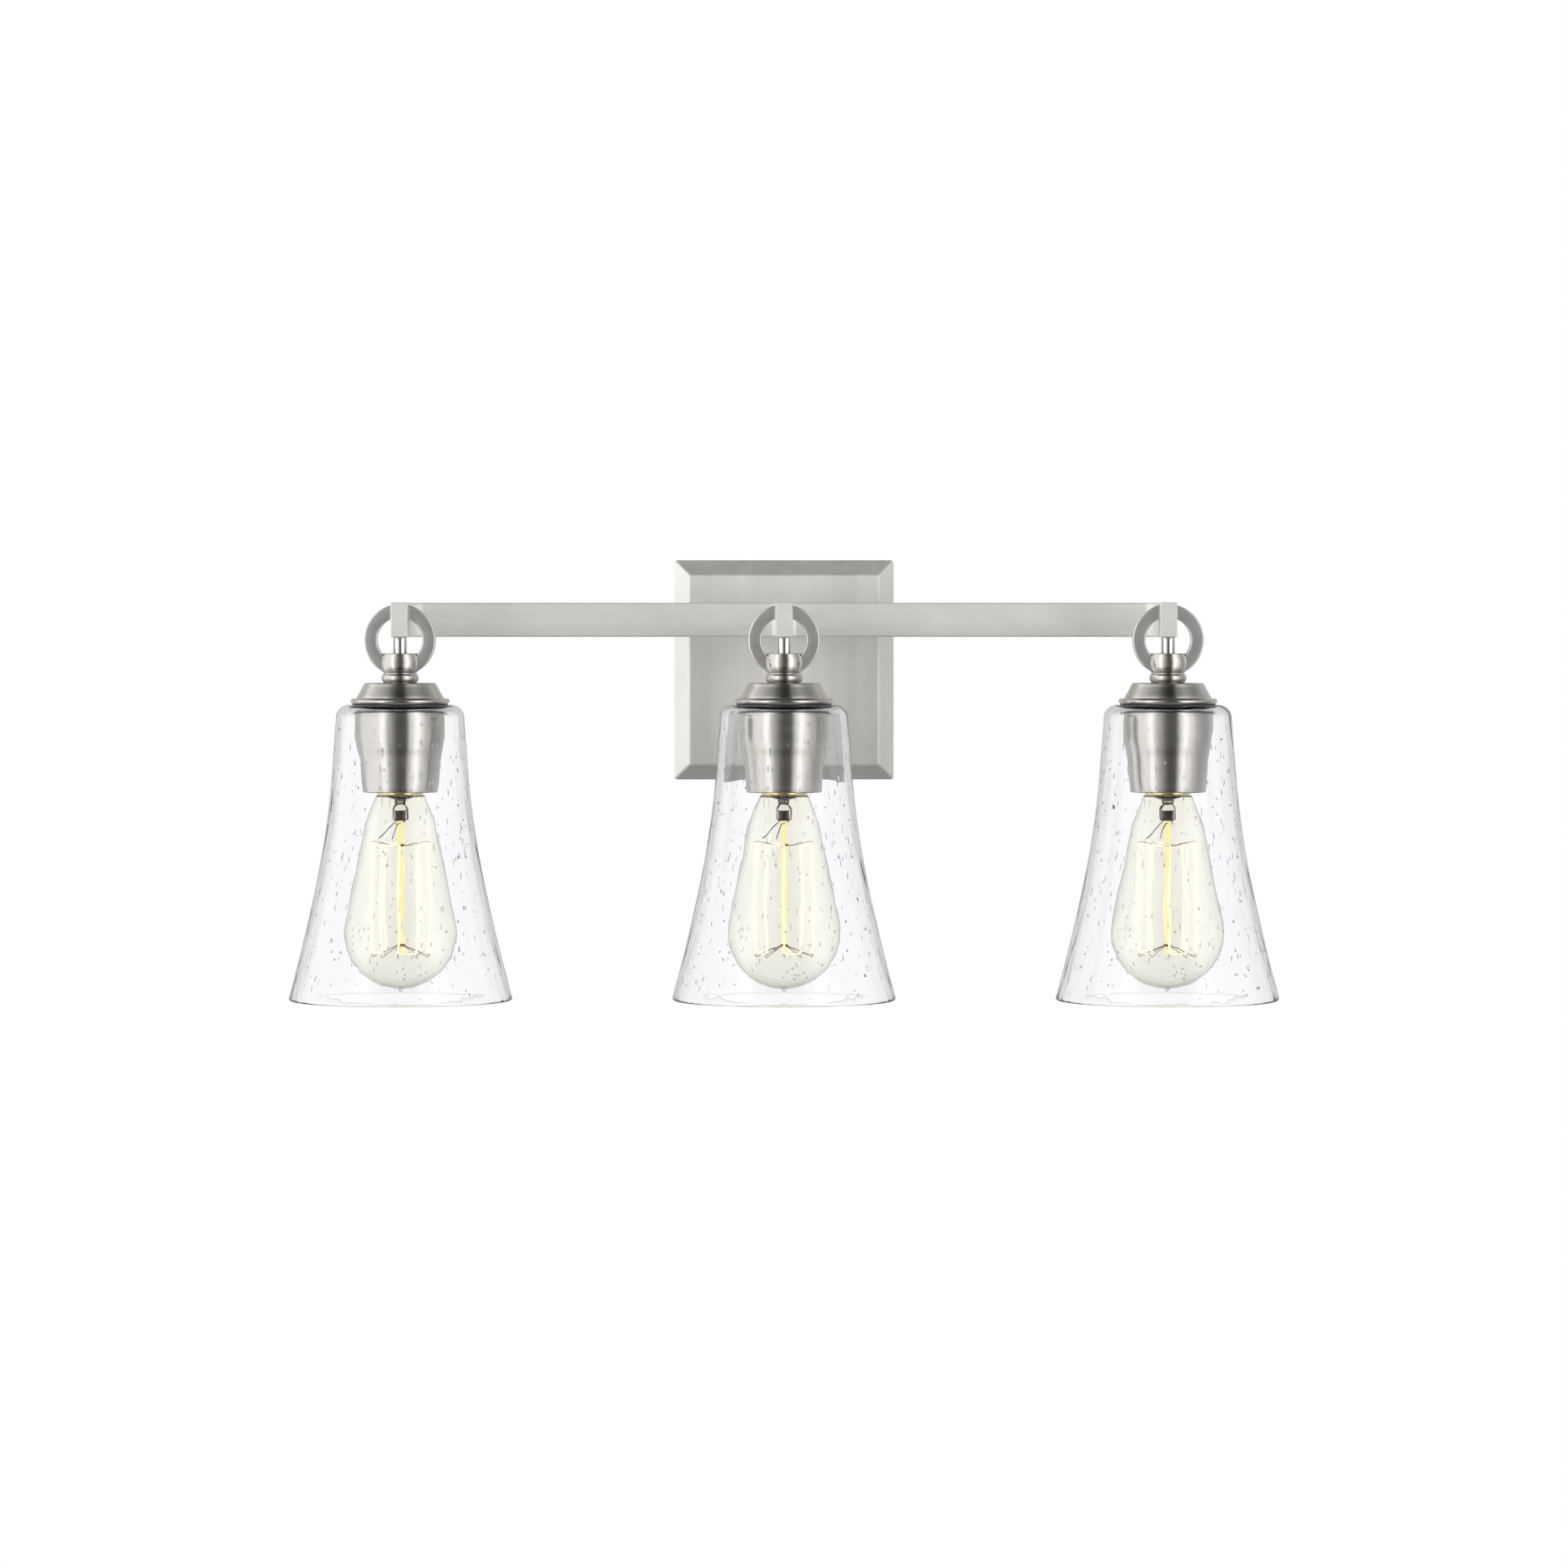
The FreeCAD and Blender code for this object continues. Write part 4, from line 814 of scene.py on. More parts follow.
POLISHED = Metal("polished_nickel", (0.80, 0.79, 0.77), 0.06, Brushing.AROUND, 1200.0, 0.02, 0.02)
ZINC = Metal("zinc_steel", (0.62, 0.63, 0.64), 0.36, Brushing.NONE, 300.0, 0.2, 0.12)
BRASS = Metal("lamp_brass", (0.95, 0.79, 0.26), 0.17, Brushing.AROUND, 900.0, 0.05)
SOLDER = Metal("solder", (0.62, 0.61, 0.60), 0.42, Brushing.NONE, 500.0, 0.3, 0.12)
COPPER = Metal("bare_copper", (0.80, 0.43, 0.27), 0.3, Brushing.ALONG_BAR, 700.0, 0.08, 0.10)
GREEN_SCREW = Moulded("green_screw", (0.05, 0.28, 0.10), 0.35, 0.4)
PORCELAIN = Moulded("porcelain", (0.86, 0.85, 0.80), 0.28, 0.5)
GASKET = Moulded("gasket_rubber", (0.08, 0.08, 0.08), 0.7)
BLACK_LEAD = Moulded("black_insulation", (0.025, 0.025, 0.025), 0.45)
WHITE_LEAD = Moulded("white_insulation", (0.78, 0.77, 0.73), 0.45)
CONNECTOR = Moulded("connector_plastic", (0.72, 0.20, 0.04), 0.38, 0.2)
INSULATOR = Moulded("black_glass_insulator", (0.012, 0.012, 0.018), 0.12, 0.6)
SHADE_GLASS = Glass("seeded_glass", (0.978, 0.980, 0.990), 1.33, 0.009, 0.3)
SEED = Glass("seed_bubble", (0.96, 0.96, 0.97), 1 / 1.5)
BULB_GLASS = Glass("amber_bulb_glass", (0.995, 0.987, 0.93), 1.24, 0.02, 0.02)
STEM_GLASS = Glass("stem_glass", (0.98, 0.97, 0.94), 1.5, 0.003, 0.5)
# The glass rod glows too, though it is no lamp: a painted glow that stands in for the filament's light caught
# in the rod.
ROD_PAINTED_GLOW = GlowingWire("amber_rod_painted_glow", (0.5, 0.42, 0.15), (1.0, 0.93, 0.50), 0.92)
FILAMENT = GlowingWire("filament", (0.3, 0.25, 0.15), (1.0, 0.97, 0.80), 1.15)
SUPPORT = Metal("support_wire", (0.30, 0.17, 0.10), 0.35, Brushing.NONE, 600.0, 0.1, 0.12)
LEAD_IN = Moulded("lead_in_wire", (0.045, 0.035, 0.03), 0.4)
PINCH = Moulded("pinch_seal", (0.14, 0.085, 0.05), 0.3, 0.4)


# ----------------------------------------------------------------------------------------------------
# One lamp's metalwork
# ----------------------------------------------------------------------------------------------------
@dataclass
class LampPart:
    """A part that each of the three lamps has: modelled once at the middle lamp, and copied."""

    pieces: dict[str, bpy.types.Object] = field(default_factory=dict, init=False)

    def axis(self, height: float) -> Vector:
        """A point on the middle lamp's axis.

        Args:
            height: its height, in metres.
        Returns:
            The point.
        """
        centre = middle(f"cap_{MODEL_LAMP}")
        return Vector((centre.x, centre.y, height))

    def spread_out(self, stem: str, body: str, node: str | None = None) -> None:
        """Copies a finished model to the other lamps, and ties each copy to its body.

        Args:
            stem: the model's name in self.pieces, which names the copies too.
            body: start of the body's name, or fixture.
            node: start of the CAD node's name that the piece stands for, if it stands for one.
        """
        model = self.pieces[stem]
        for lamp in LAMPS:
            name = f"{stem}_{lamp}"
            if lamp == MODEL_LAMP:
                piece = model
                piece.name = name
            else:
                piece = copy_to(model, name, Vector((lamp_step(lamp), 0, 0)))
            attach(piece, body if body == "fixture" else f"{body}_{lamp}")
            if node:
                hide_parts(f"{node}_{lamp}")
        LOG.info("%s: %d faces each", stem, len(model.data.polygons))


@dataclass
class HangingRing(LampPart):
    """The flat ring that hangs the lamp from its arm, notched round the arm at its top."""

    inner: float = 12.75
    edge: float = 0.8
    notch_gap: float = 0.06
    notch_tall: float = 50.0

    def outline(self, outer: float, half: float, edge: float) -> Outline:
        """Section of the ring: a rounded rectangle.

        Args:
            outer: outside radius.
            half: half its thickness.
            edge: rounding of its edges.
        Returns:
            The closed outline.
        """
        inner = self.inner
        return (
            Outline((inner, -half + edge))
            .line(inner, half - edge).arc(inner + edge, half, edge, False, 5)
            .line(outer - edge, half, 2).arc(outer, half - edge, edge, False, 5)
            .line(outer, -half + edge).arc(outer - edge, -half, edge, False, 5)
            .line(inner + edge, -half, 2).arc(inner, -half + edge, edge, False, 5)
        )

    def build(self) -> None:
        """Turns the ring about an axis towards the room, and cuts the arm's notch in it."""
        node = f"ring_{MODEL_LAMP}"
        outer, half = radius_of(node), half_depth_of(node)
        centre = middle(node)
        centre.z = low(node).z + outer * MM
        ring = turn("ring", self.outline(outer, half, self.edge), centre, 112, Axis.TO_ROOM)
        side = high("light_bar_right").x
        width = high("arm_end_caps").x - side + 2 * (side - middle("ring_right").x)
        notch_low = low("centre_arm").z - self.notch_gap * MM
        tall = self.notch_tall * MM
        notch = block(
            Vector((width + 2 * self.notch_gap * MM, 4 * half * MM, tall)),
            Vector((centre.x, centre.y, notch_low + tall / 2)),
        )
        cut_away(ring, notch)
        soften_edges(ring, 0.15, 1)
        smooth(ring, 35)
        Dresser.dress(ring, SATIN_RING_PAINTED_DARKER, "satin_nickel")
        self.pieces["ring"] = ring
        self.spread_out("ring", "fixture", "ring")


@dataclass
class Stem(LampPart):
    """The polished tube between arm and neck."""

    bore: float = 2.1
    thread: float = 2.95
    edge: float = 0.35

    def build(self) -> None:
        """Turns the stem with its thinner upper end."""
        node = f"stem_{MODEL_LAMP}"
        outer, top = radius_of(node), height_of(node)
        arm_foot = (low("centre_arm").z - low(node).z) / MM
        outline = (
            Outline((self.bore, 0)).line(outer - self.edge, 0).arc(outer, self.edge, self.edge, True, 3)
            .line(outer, arm_foot - self.edge).arc(outer - self.edge, arm_foot, self.edge, True, 3)
            .line(self.thread, arm_foot).line(self.thread, top - 0.3).line(self.thread - 0.3, top)
            .line(self.bore, top).closed()
        )
        stem = turn("stem", outline, self.axis(low(node).z), 48)
        Dresser.dress(stem, POLISHED, "polished_nickel")
        self.pieces["stem"] = stem
        self.spread_out("stem", "fixture", "stem")


@dataclass
class Neck(LampPart):
    """The turned neck: a bead below, a ball above, slotted for the ring."""

    foot: float = 9.3
    bead: float = 10.5
    bead_height: float = 5.2
    waist: float = 9.35
    top: float = 10.1
    ball: float = 12.0
    bore: float = 4.0
    slot_gap: float = 0.12

    def build(self, ring: HangingRing) -> None:
        """Turns the neck, and cuts the slot that the ring passes through.

        Args:
            ring: the ring, whose section the slot follows.
        """
        node = f"neck_{MODEL_LAMP}"
        height = height_of(node)
        outline = (
            Outline((self.bore, 0)).line(self.foot - 0.3, 0).line(self.foot, 0.3)
            .arc(self.bead, 2.5, 3.0, True, 5).arc(self.waist + 0.15, self.bead_height - 0.1, 3.0, True, 6)
            .arc(self.waist + 0.1, self.bead_height + 0.7, 0.5, False, 4)
            .arc(self.top + 0.05, height - 0.5, self.ball, True, 16)
            .arc(self.top - 0.4, height, 0.5, True, 4)
            .line(self.bore, height).closed()
        )
        neck = turn("neck", outline, self.axis(low(node).z), 96)
        band = f"ring_{MODEL_LAMP}"
        outer, half = radius_of(band), half_depth_of(band)
        centre = middle(band)
        centre.z = low(band).z + outer * MM
        wide = HangingRing(inner=ring.inner - self.slot_gap)
        shape = wide.outline(outer + self.slot_gap, half + self.slot_gap, ring.edge)
        cut_away(neck, turn("ring_slot", shape, centre, 112, Axis.TO_ROOM))
        smooth(neck, 32)
        Dresser.dress(neck, SATIN_TURNED_PAINTED_DARKER, "satin_nickel")
        self.pieces["neck"] = neck
        self.spread_out("neck", "fixture", "neck")


@dataclass
class ShadeCap(LampPart):
    """The spun cap over the shade's top, with a rolled lip."""

    top: float = 20.4
    cone: float = 24.6
    cone_height: float = 8.6
    lip: float = 27.3
    hole: float = 4.85
    wall: float = 1.0

    def build(self) -> None:
        """Turns the cap's shell and lip."""
        node = f"cap_{MODEL_LAMP}"
        height = height_of(node)
        inside = self.cone - self.wall - 0.2
        outline = (
            Outline((self.hole, 0)).line(self.top - 0.9, 0, 3).arc(self.top, -0.75, 0.95, False, 6)
            .line(self.cone - 0.1, 0.3 - self.cone_height, 4)
            .arc(self.cone + 0.25, -self.cone_height - 0.1, 0.5, True, 4)
            .line(self.lip - 0.9, -self.cone_height - 0.15, 2)
            .arc(self.lip + 0.6, -self.cone_height - 1.65, 1.5, False, 6)
            .arc(self.lip - 0.6, 0.05 - height, 1.75, False, 6)
            .line(inside - 1.2, -height).line(inside - 1.2, -self.cone_height - 1.2)
            .line(inside, -self.cone_height).line(self.top - self.wall - 0.2, -self.wall)
            .line(self.hole, -self.wall).closed()
        )
        cap = turn("cap", outline, self.axis(high(node).z), 128)
        Dresser.dress(cap, SATIN_TURNED_PAINTED_DARKER, "satin_nickel")
        self.pieces["cap"] = cap
        self.spread_out("cap", "fixture", "cap")


@dataclass
class Husk(LampPart):
    """The tapered metal cup inside the glass, which clamps the shade."""

    bore: float = 20.15
    top: float = 25.1
    straight: float = 13.0
    waist: float = 24.0
    waist_drop: float = 22.3
    foot: float = 22.6
    foot_drop: float = 30.5
    end: float = 21.25
    curve: float = 46.0
    wall: float = 1.2
    flange: float = 3.0
    thread_pitch: float = 1.5
    thread_depth: float = 0.3

    def build(self) -> None:
        """Turns the husk, with a rounded open end and a threaded flange."""
        node = f"husk_{MODEL_LAMP}"
        height, wall = height_of(node), self.wall
        outline = Outline((self.bore, 0)).line(self.top - 0.4, 0, 2).arc(self.top, -0.4, 0.4, False, 3)
        outline.line(self.top, -self.straight, 3)
        outline.arc(self.waist, -self.waist_drop, self.curve, False, 7)
        outline.arc(self.foot, -self.foot_drop, self.curve, True, 7)
        outline.line(self.end + 0.02, 0.5 - height, 3).arc(self.end - wall, 0.5 - height, 0.62, False, 6)
        outline.line(self.foot - wall, -self.foot_drop, 3)
        outline.arc(self.waist - wall, -self.waist_drop, self.curve + wall, False, 5)
        outline.arc(self.top - wall, -self.straight, self.curve - wall, True, 5)
        outline.line(self.top - wall, -self.flange)
        turns = int(self.flange / self.thread_pitch)
        outline.line(self.bore, -self.flange)
        for number in range(turns, 0, -1):
            outline.line(self.bore + self.thread_depth, -(number - 0.5) * self.thread_pitch)
            outline.line(self.bore, -(number - 1) * self.thread_pitch)
        husk = turn("husk", outline, self.axis(high(node).z), 128)
        Dresser.dress(husk, SATIN_TURNED_PAINTED_DARKER, "satin_nickel")
        self.pieces["husk"] = husk
        self.spread_out("husk", "husk", "husk")


# ----------------------------------------------------------------------------------------------------
# Glass
# ----------------------------------------------------------------------------------------------------
@dataclass
class SeededShade(LampPart):
    """The bell of clear glass, with seed bubbles drawn out down its wall."""

    wall: float = 3.0
    hole: float = 20.8
    flat: float = 29.4
    shoulder: float = 36.2
    shoulder_drop: float = 8.2
    shoulder_round: float = 7.6
    body: float = 38.0
    body_drop: float = 33.0
    flare: float = 48.6
    flare_drop: float = 106.3
    flare_bend: float = 510.0
    rim_bend: float = 1100.0
    seeds: int = 380
    seed_width: tuple[float, float] = (0.5, 0.95)
    speck_width: tuple[float, float] = (0.6, 1.35)
    seed_length: tuple[float, float] = (1.6, 4.6)
    speck_share: float = 0.4
    seed_depth: float = 0.7
    draw: int = 7

    def outline(self, rim: float, height: float) -> Outline:
        """Section of the glass: outside down to the rim, round it, and up the inside.

        Args:
            rim: outside radius of the rim.
            height: height of the shade.
        Returns:
            The closed outline.
        """
        wall, half = self.wall, self.wall / 2
        return (
            Outline((self.hole, -0.4)).arc(self.hole + 0.4, 0, 0.4, False, 2)
            .line(self.flat, 0, 4).arc(self.shoulder, -self.shoulder_drop, self.shoulder_round, False, 12)
            .line(self.body, -self.body_drop, 8).arc(self.flare, -self.flare_drop, self.flare_bend, True, 16)
            .arc(rim, -height + half, self.rim_bend, True, 14)
            .arc(rim - wall, -height + half, half, False, 10)
            .arc(self.flare - wall, -self.flare_drop, self.rim_bend + wall, False, 14)
            .arc(self.body - wall, -self.body_drop, self.flare_bend + wall, False, 16)
            .line(self.shoulder - wall, -self.shoulder_drop, 8)
            .arc(self.flat - 0.4, -wall, self.shoulder_round - wall + 0.6, True, 10)
            .line(self.hole, -wall, 3).closed()
        )

    def build(self) -> None:
        """Turns the shade, and fills its wall with seeds."""
        node = f"shade_{MODEL_LAMP}"
        height = height_of(node)
        outline = self.outline(radius_of(node), height)
        at = self.axis(high(node).z)
        shade = turn("glass_shade", outline, at, 144)
        smooth(shade, 60)
        Dresser.dress(shade, SHADE_GLASS, "shade_glass")
        self.pieces["glass_shade"] = shade
        self.pieces["shade_seeds"] = self.make_seeds(outline, at, height)
        self.spread_out("glass_shade", "shade", "shade")
        self.spread_out("shade_seeds", "shade")

    def make_seeds(self, outline: Outline, at: Vector, height: float) -> bpy.types.Object:
        """Small closed bubbles inside the wall, each drawn out along the glass.

        Args:
            outline: the shade's section.
            at: the top of the shade on its axis.
            height: height of the shade, in millimetres.
        Returns:
            One piece that holds all the bubbles.
        """
        clear_bench()
        bpy.ops.mesh.primitive_uv_sphere_add(segments=6, ring_count=5, radius=0.5 * MM)
        bubble = name_piece("bubble")
        shape = [v.co.copy() for v in bubble.data.vertices]
        faces = [tuple(p.vertices) for p in bubble.data.polygons]
        bpy.data.objects.remove(bubble)
        chance = random.Random(self.draw)
        points: list[Vector] = []
        polygons: list[tuple[int, ...]] = []
        for _ in range(self.seeds):
            drop = self.shoulder_drop + 2 + (height - self.shoulder_drop - 6) * chance.random() ** 0.85
            round_one = chance.random() < self.speck_share
            width = chance.uniform(*(self.speck_width if round_one else self.seed_width))
            length = width * 1.25 if round_one else chance.uniform(*self.seed_length)
            radius = outline.radius_at(-drop) - self.wall / 2
            radius += chance.uniform(-self.seed_depth, self.seed_depth)
            lean = math.atan2(outline.radius_at(-drop - 1) - outline.radius_at(-drop + 1), 2)
            place = (
                Matrix.Translation(at)
                @ Matrix.Rotation(chance.uniform(0, math.tau), 4, "Z")
                @ Matrix.Translation(Vector((radius, 0, -drop)) * MM)
                @ Matrix.Rotation(-lean + chance.gauss(0, 0.06), 4, "Y")
                @ Matrix.Rotation(chance.gauss(0, 0.12), 4, "X")
                @ Matrix.Diagonal((width, width, length, 1))
            )
            first = len(points)
            points += [place @ v for v in shape]
            polygons += [tuple(first + i for i in face) for face in faces]
        mesh = bpy.data.meshes.new("shade_seeds")
        mesh.from_pydata(points, [], polygons)
        seeds = bpy.data.objects.new("shade_seeds", mesh)
        bpy.context.collection.objects.link(seeds)
        smooth(seeds, 180)
        Dresser.dress(seeds, SEED, "shade_glass")
        return seeds


@dataclass
class FilamentBulb(LampPart):
    """The screw-in bulb: threaded brass base, pear glass, stem press, and a cage of filament."""

    base: float = 13.1
    base_thread: float = 20.5
    pitch: float = 25.4 / 7
    neck: float = 14.4
    neck_drop: float = 2.2
    upper: float = 19.8
    upper_drop: float = 16.3
    sphere: float = 31.8
    tangent: float = 11.6
    sphere_drop: float = 78.2
    tip: float = 2.2
    wall: float = 0.6
    press: float = 4.6
    press_drop: float = 15.0
    rod: float = 1.7
    rod_drop: float = 90.5
    cage: float = 16.6
    cage_top: float = 27.0
    cage_foot: float = 90.0
    strands: int = 10
    strand_wire: float = 1.35
    turn_wire: float = 0.9
    support_wire: float = 0.32
    lead_wire: float = 0.55
    rim_height: float = 3.6
    thread_start: float = 3.0
    thread_turns: int = 4
    thread_depth: float = 0.75
    cone_start: float = 17.2

    def edge(self) -> Vector:
        """The point on the axis at the brass's lower edge."""
        return self.axis(low(f"bulb_base_{MODEL_LAMP}").z)

    def build(self) -> None:
        """Builds every piece of the bulb."""
        self.build_base()
        self.build_glass()
        self.build_stem()
        self.build_cage()

    def build_base(self) -> None:
        """The brass: a rolled rim, a helical thread and a cone, with the insulator and solder above."""
        at = self.edge()
        seat = (high(f"bulb_base_{MODEL_LAMP}").z - at.z) / MM
        tip = (high(f"bulb_tip_{MODEL_LAMP}").z - at.z) / MM
        root = self.base - self.thread_depth
        rim = turn(
            "rim",
            Outline((root - 0.4, 0)).line(self.base - 0.3, 0).arc(self.base, 0.3, 0.3, True, 3)
            .line(self.base, self.rim_height - 2).arc(root - 0.05, self.rim_height, 2.6, False, 5)
            .line(root - 0.4, self.rim_height).closed(),
            at, 96,
        )
        thread = self.thread_shell(at, root, self.thread_start, self.thread_turns)
        cone = turn(
            "cone",
            Outline((root - 0.4, self.cone_start)).line(root, self.cone_start)
            .line(root - 0.1, self.base_thread - 1)
            .arc(root - 1.4, self.base_thread + 0.4, 1.6, True, 5).line(6.2, seat - 0.8)
            .line(6.0, seat - 1.1).line(root - 1.8, self.base_thread - 0.6).closed(),
            at, 96,
        )
        brass = join_pieces("bulb_base", [rim, thread, cone])
        Dresser.dress(brass, BRASS, "brass")
        insulator = turn(
            "insulator",
            Outline((0, seat - 1.2)).line(6.0, seat - 1.1).line(6.1, seat - 0.7)
            .arc(4.4, seat, 1.7, True, 4).line(0, seat),
            at, 48,
        )
        Dresser.dress(insulator, INSULATOR, "connector_plastic")
        solder = turn(
            "solder",
            Outline((0, seat)).line(4.2, seat).arc(3.2, seat + 1.1, 1.2, True, 4)
            .arc(0, tip, 4.6, True, 7),
            at, 48,
        )
        Dresser.dress(solder, SOLDER, "solder")
        self.pieces.update({"bulb_base": brass, "bulb_insulator": insulator, "bulb_tip": solder})
        self.spread_out("bulb_base", "bulb", "bulb_base")
        self.spread_out("bulb_insulator", "bulb")
        self.spread_out("bulb_tip", "bulb_tip", "bulb_tip")

    def thread_shell(self, at: Vector, root: float, start: float, turns: int) -> bpy.types.Object:
        """One helical surface with a rounded crest, made with the Screw modifier.

        Args:
            at: the brass's lower edge on the axis.
            root: radius between the crests.
            start: height of the thread's start.
            turns: number of turns.
        Returns:
            The thread, with a wall.
        """
        clear_bench()
        bpy.ops.mesh.primitive_circle_add(
            vertices=16, radius=self.pitch / 2 * MM, rotation=(math.pi / 2, 0, 0)
        )
        strip = bpy.context.object
        wave = strip.data
        order = sorted(wave.vertices, key=lambda v: (round(v.co.x, 7), v.co.y))
        lowest, highest = order[0].co.x, order[-1].co.x
        drop = [v.index for v in wave.vertices if v.co.y < -1e-6 * MM]
        bpy.ops.object.mode_set(mode="EDIT")
        bpy.ops.mesh.select_all(action="DESELECT")
        bpy.ops.object.mode_set(mode="OBJECT")
        for index in drop:
            wave.vertices[index].select = True
        bpy.ops.object.mode_set(mode="EDIT")
        bpy.ops.mesh.delete(type="VERT")
        bpy.ops.object.mode_set(mode="OBJECT")
        for vertex in wave.vertices:
            share = (vertex.co.x - lowest) / (highest - lowest)
            crest = (self.base - root) * 0.5 * (1 - math.cos(math.tau * share)) * MM
            vertex.co = Vector((root * MM + crest, 0, share * self.pitch * MM))
        strip.rotation_euler = (0, 0, 0)
        strip.location = at + Vector((0, 0, start * MM))
        screw = strip.modifiers.new("thread", "SCREW")
        screw.axis = "Z"
        screw.screw_offset = self.pitch * MM
        screw.iterations = turns
        screw.steps = screw.render_steps = 56
        screw.use_merge_vertices = True
        screw.merge_threshold = 1e-6
        wall = strip.modifiers.new("wall", "SOLIDIFY")
        wall.thickness = 0.35 * MM
        wall.offset = 0
        pick(strip)
        bpy.ops.object.modifier_apply(modifier="thread")
        bpy.ops.object.modifier_apply(modifier="wall")
        piece = name_piece("thread")
        tidy_mesh(piece, 1e-6)
        smooth(piece, 50)
        return piece

    def build_glass(self) -> None:
        """The pear glass: turned as a skin, and given its wall by Solidify."""
        at = self.edge()
        lean = math.radians(self.tangent)
        outline = (
            Outline((self.base - 1.4, 4.0)).line(self.base - 1.4, 0.2)
            .arc(self.base - 0.2, -0.4, 1.0, True, 3).arc(self.neck, -self.neck_drop, 2.0, False, 4)
            .line(self.upper, -self.upper_drop, 6)
            .line(self.sphere * math.cos(lean), -self.sphere_drop + self.sphere * math.sin(lean), 14)
            .arc(1.9, -self.sphere_drop - math.sqrt(self.sphere**2 - 1.9**2), self.sphere, False, 26)
            .arc(1.3, -self.sphere_drop - self.sphere - 0.6, 1.3, True, 4)
            .arc(0.0, -self.sphere_drop - self.sphere - self.tip + 0.1, 3.4, False, 6)
        )
        glass = turn("bulb_glass", outline, at, 112)
        pick(glass)
        skin = glass.modifiers.new("wall", "SOLIDIFY")
        skin.thickness = self.wall * MM
        skin.offset = -1
        bpy.ops.object.modifier_apply(modifier="wall")
        smooth(glass, 60)
        Dresser.dress(glass, BULB_GLASS, "bulb_glass")
        self.pieces["bulb_glass"] = glass
        self.spread_out("bulb_glass", "bulb", "bulb_glass")

    def build_stem(self) -> None:
        """The glass press with its flare, and the rod that carries the cage."""
        at = self.edge()
        flare = (
            Outline((0, 4.2)).line(10.6, 4.2).line(10.8, 3.6).arc(3.4, -3.0, 9.0, False, 8)
            .line(3.0, -6.0, 2).arc(self.press, -9.0, 4.0, False, 4)
            .line(self.press, -self.press_drop + 1.6, 2)
            .arc(self.press - 1.4, -self.press_drop, 1.5, False, 4)
            .line(self.rod + 0.5, -self.press_drop - 0.2).line(0, -self.press_drop - 0.2)
        )
        press = turn("bulb_press", flare, at, 48)
        flatten = 0.62
        for vertex in press.data.vertices:
            depth = vertex.co.y - at.y
            drop = (at.z - vertex.co.z) / MM
            share = min(max((drop - 2.0) / 5.0, 0.0), 1.0)
            vertex.co.y = at.y + depth * (1 - (1 - flatten) * share)
        Dresser.dress(press, STEM_GLASS, "stem_glass")
        rod = turn(
            "bulb_rod",
            Outline((0, -self.press_drop - 0.25)).line(self.rod + 0.2, -self.press_drop - 0.25)
            .line(self.rod, -self.press_drop - 3, 2).line(self.rod, -self.rod_drop + 1.4, 6)
            .arc(self.rod + 0.5, -self.rod_drop + 0.7, 0.9, False, 3).arc(0, -self.rod_drop, 1.8, False, 4),
            at, 24,
        )
        # The rod's finish is a painted glow for the filament's light in it.
        Dresser.dress(rod, ROD_PAINTED_GLOW, "stem_glass")
        pinch = block(
            Vector((5.4, 2.6, 5.0)) * MM, at + Vector((0.0, 0.0, -self.press_drop + 3.2)) * MM
        )
        soften_edges(pinch, 0.6, 2)
        smooth(pinch)
        Dresser.dress(pinch, PINCH, "stem_glass")
        self.pieces.update({"bulb_press": press, "bulb_rod": rod, "bulb_pinch": pinch})
        self.spread_out("bulb_pinch", "bulb")
        self.spread_out("bulb_press", "bulb", "bulb_stem")
        self.spread_out("bulb_rod", "bulb")

    def build_cage(self) -> None:
        """Support wires with hooks, the filament strung between them, and two splayed lead-in wires."""
        at = self.edge()

        def place(radius: float, angle: float, drop: float) -> Vector:
            """A point of the cage, in metres."""
            return at + Vector((radius * math.cos(angle), radius * math.sin(angle), -drop)) * MM

        rod, cage = self.rod, self.cage
        top, foot = self.cage_top, self.cage_foot
        supports, strands = [], []
        step = math.tau / self.strands
        reach = foot - top - 1.6
        for i in range(self.strands):
            angle = (i + 0.5) * step
            sag = 1.6 * math.sin(i * 2.4)
            upper = (
                (rod * 0.8, top + 1.8), (cage * 0.35, top + 2.0), (cage * 0.8, top + 0.2 + 0.15 * sag),
                (cage, top - 0.2), (cage + 0.7, top + 0.7), (cage - 0.1, top + 1.3),
            )
            lower = (
                (rod * 0.8, foot - 4.5), (cage * 0.4, foot - 2.6), (cage * 0.8, foot + 0.4),
                (cage, foot + 1.8), (cage + 0.7, foot + 0.8), (cage - 0.2, foot),
            )
            for hook in (upper, lower) if i % 2 == 0 else (lower,):
                path = [place(radius, angle, drop) for radius, drop in hook]
                supports.append(wire("hook", path, self.support_wire, 2))
            path = []
            for k in range(41):
                share = k / 40
                bow = 0.9 * math.sin(math.pi * share)
                sway = 0.02 * math.sin(9 * share + i)
                path.append(place(cage + bow, angle + sway, top + 0.8 + reach * share))
            strands.append(wire("strand", path, self.strand_wire, 2))
            bend = top + 0.9 if i % 2 == 0 else foot - 0.9
            strands.append(self.turn_round(place, angle, step, bend))
        collars = []
        for drop in (top + 1.8, foot - 4.5):
            band = Outline((rod, -drop - 0.7)).line(rod + 0.55, -drop - 0.4)
            band.line(rod + 0.55, -drop + 0.4).line(rod, -drop + 0.7).closed()
            collars.append(turn("hub", band, at, 20))
        hooks = join_pieces("bulb_supports", supports + collars)
        Dresser.dress(hooks, SUPPORT, "filament_wire")
        filament = join_pieces("bulb_filament", strands)
        Dresser.dress(filament, FILAMENT, "filament_wire")
        leads = []
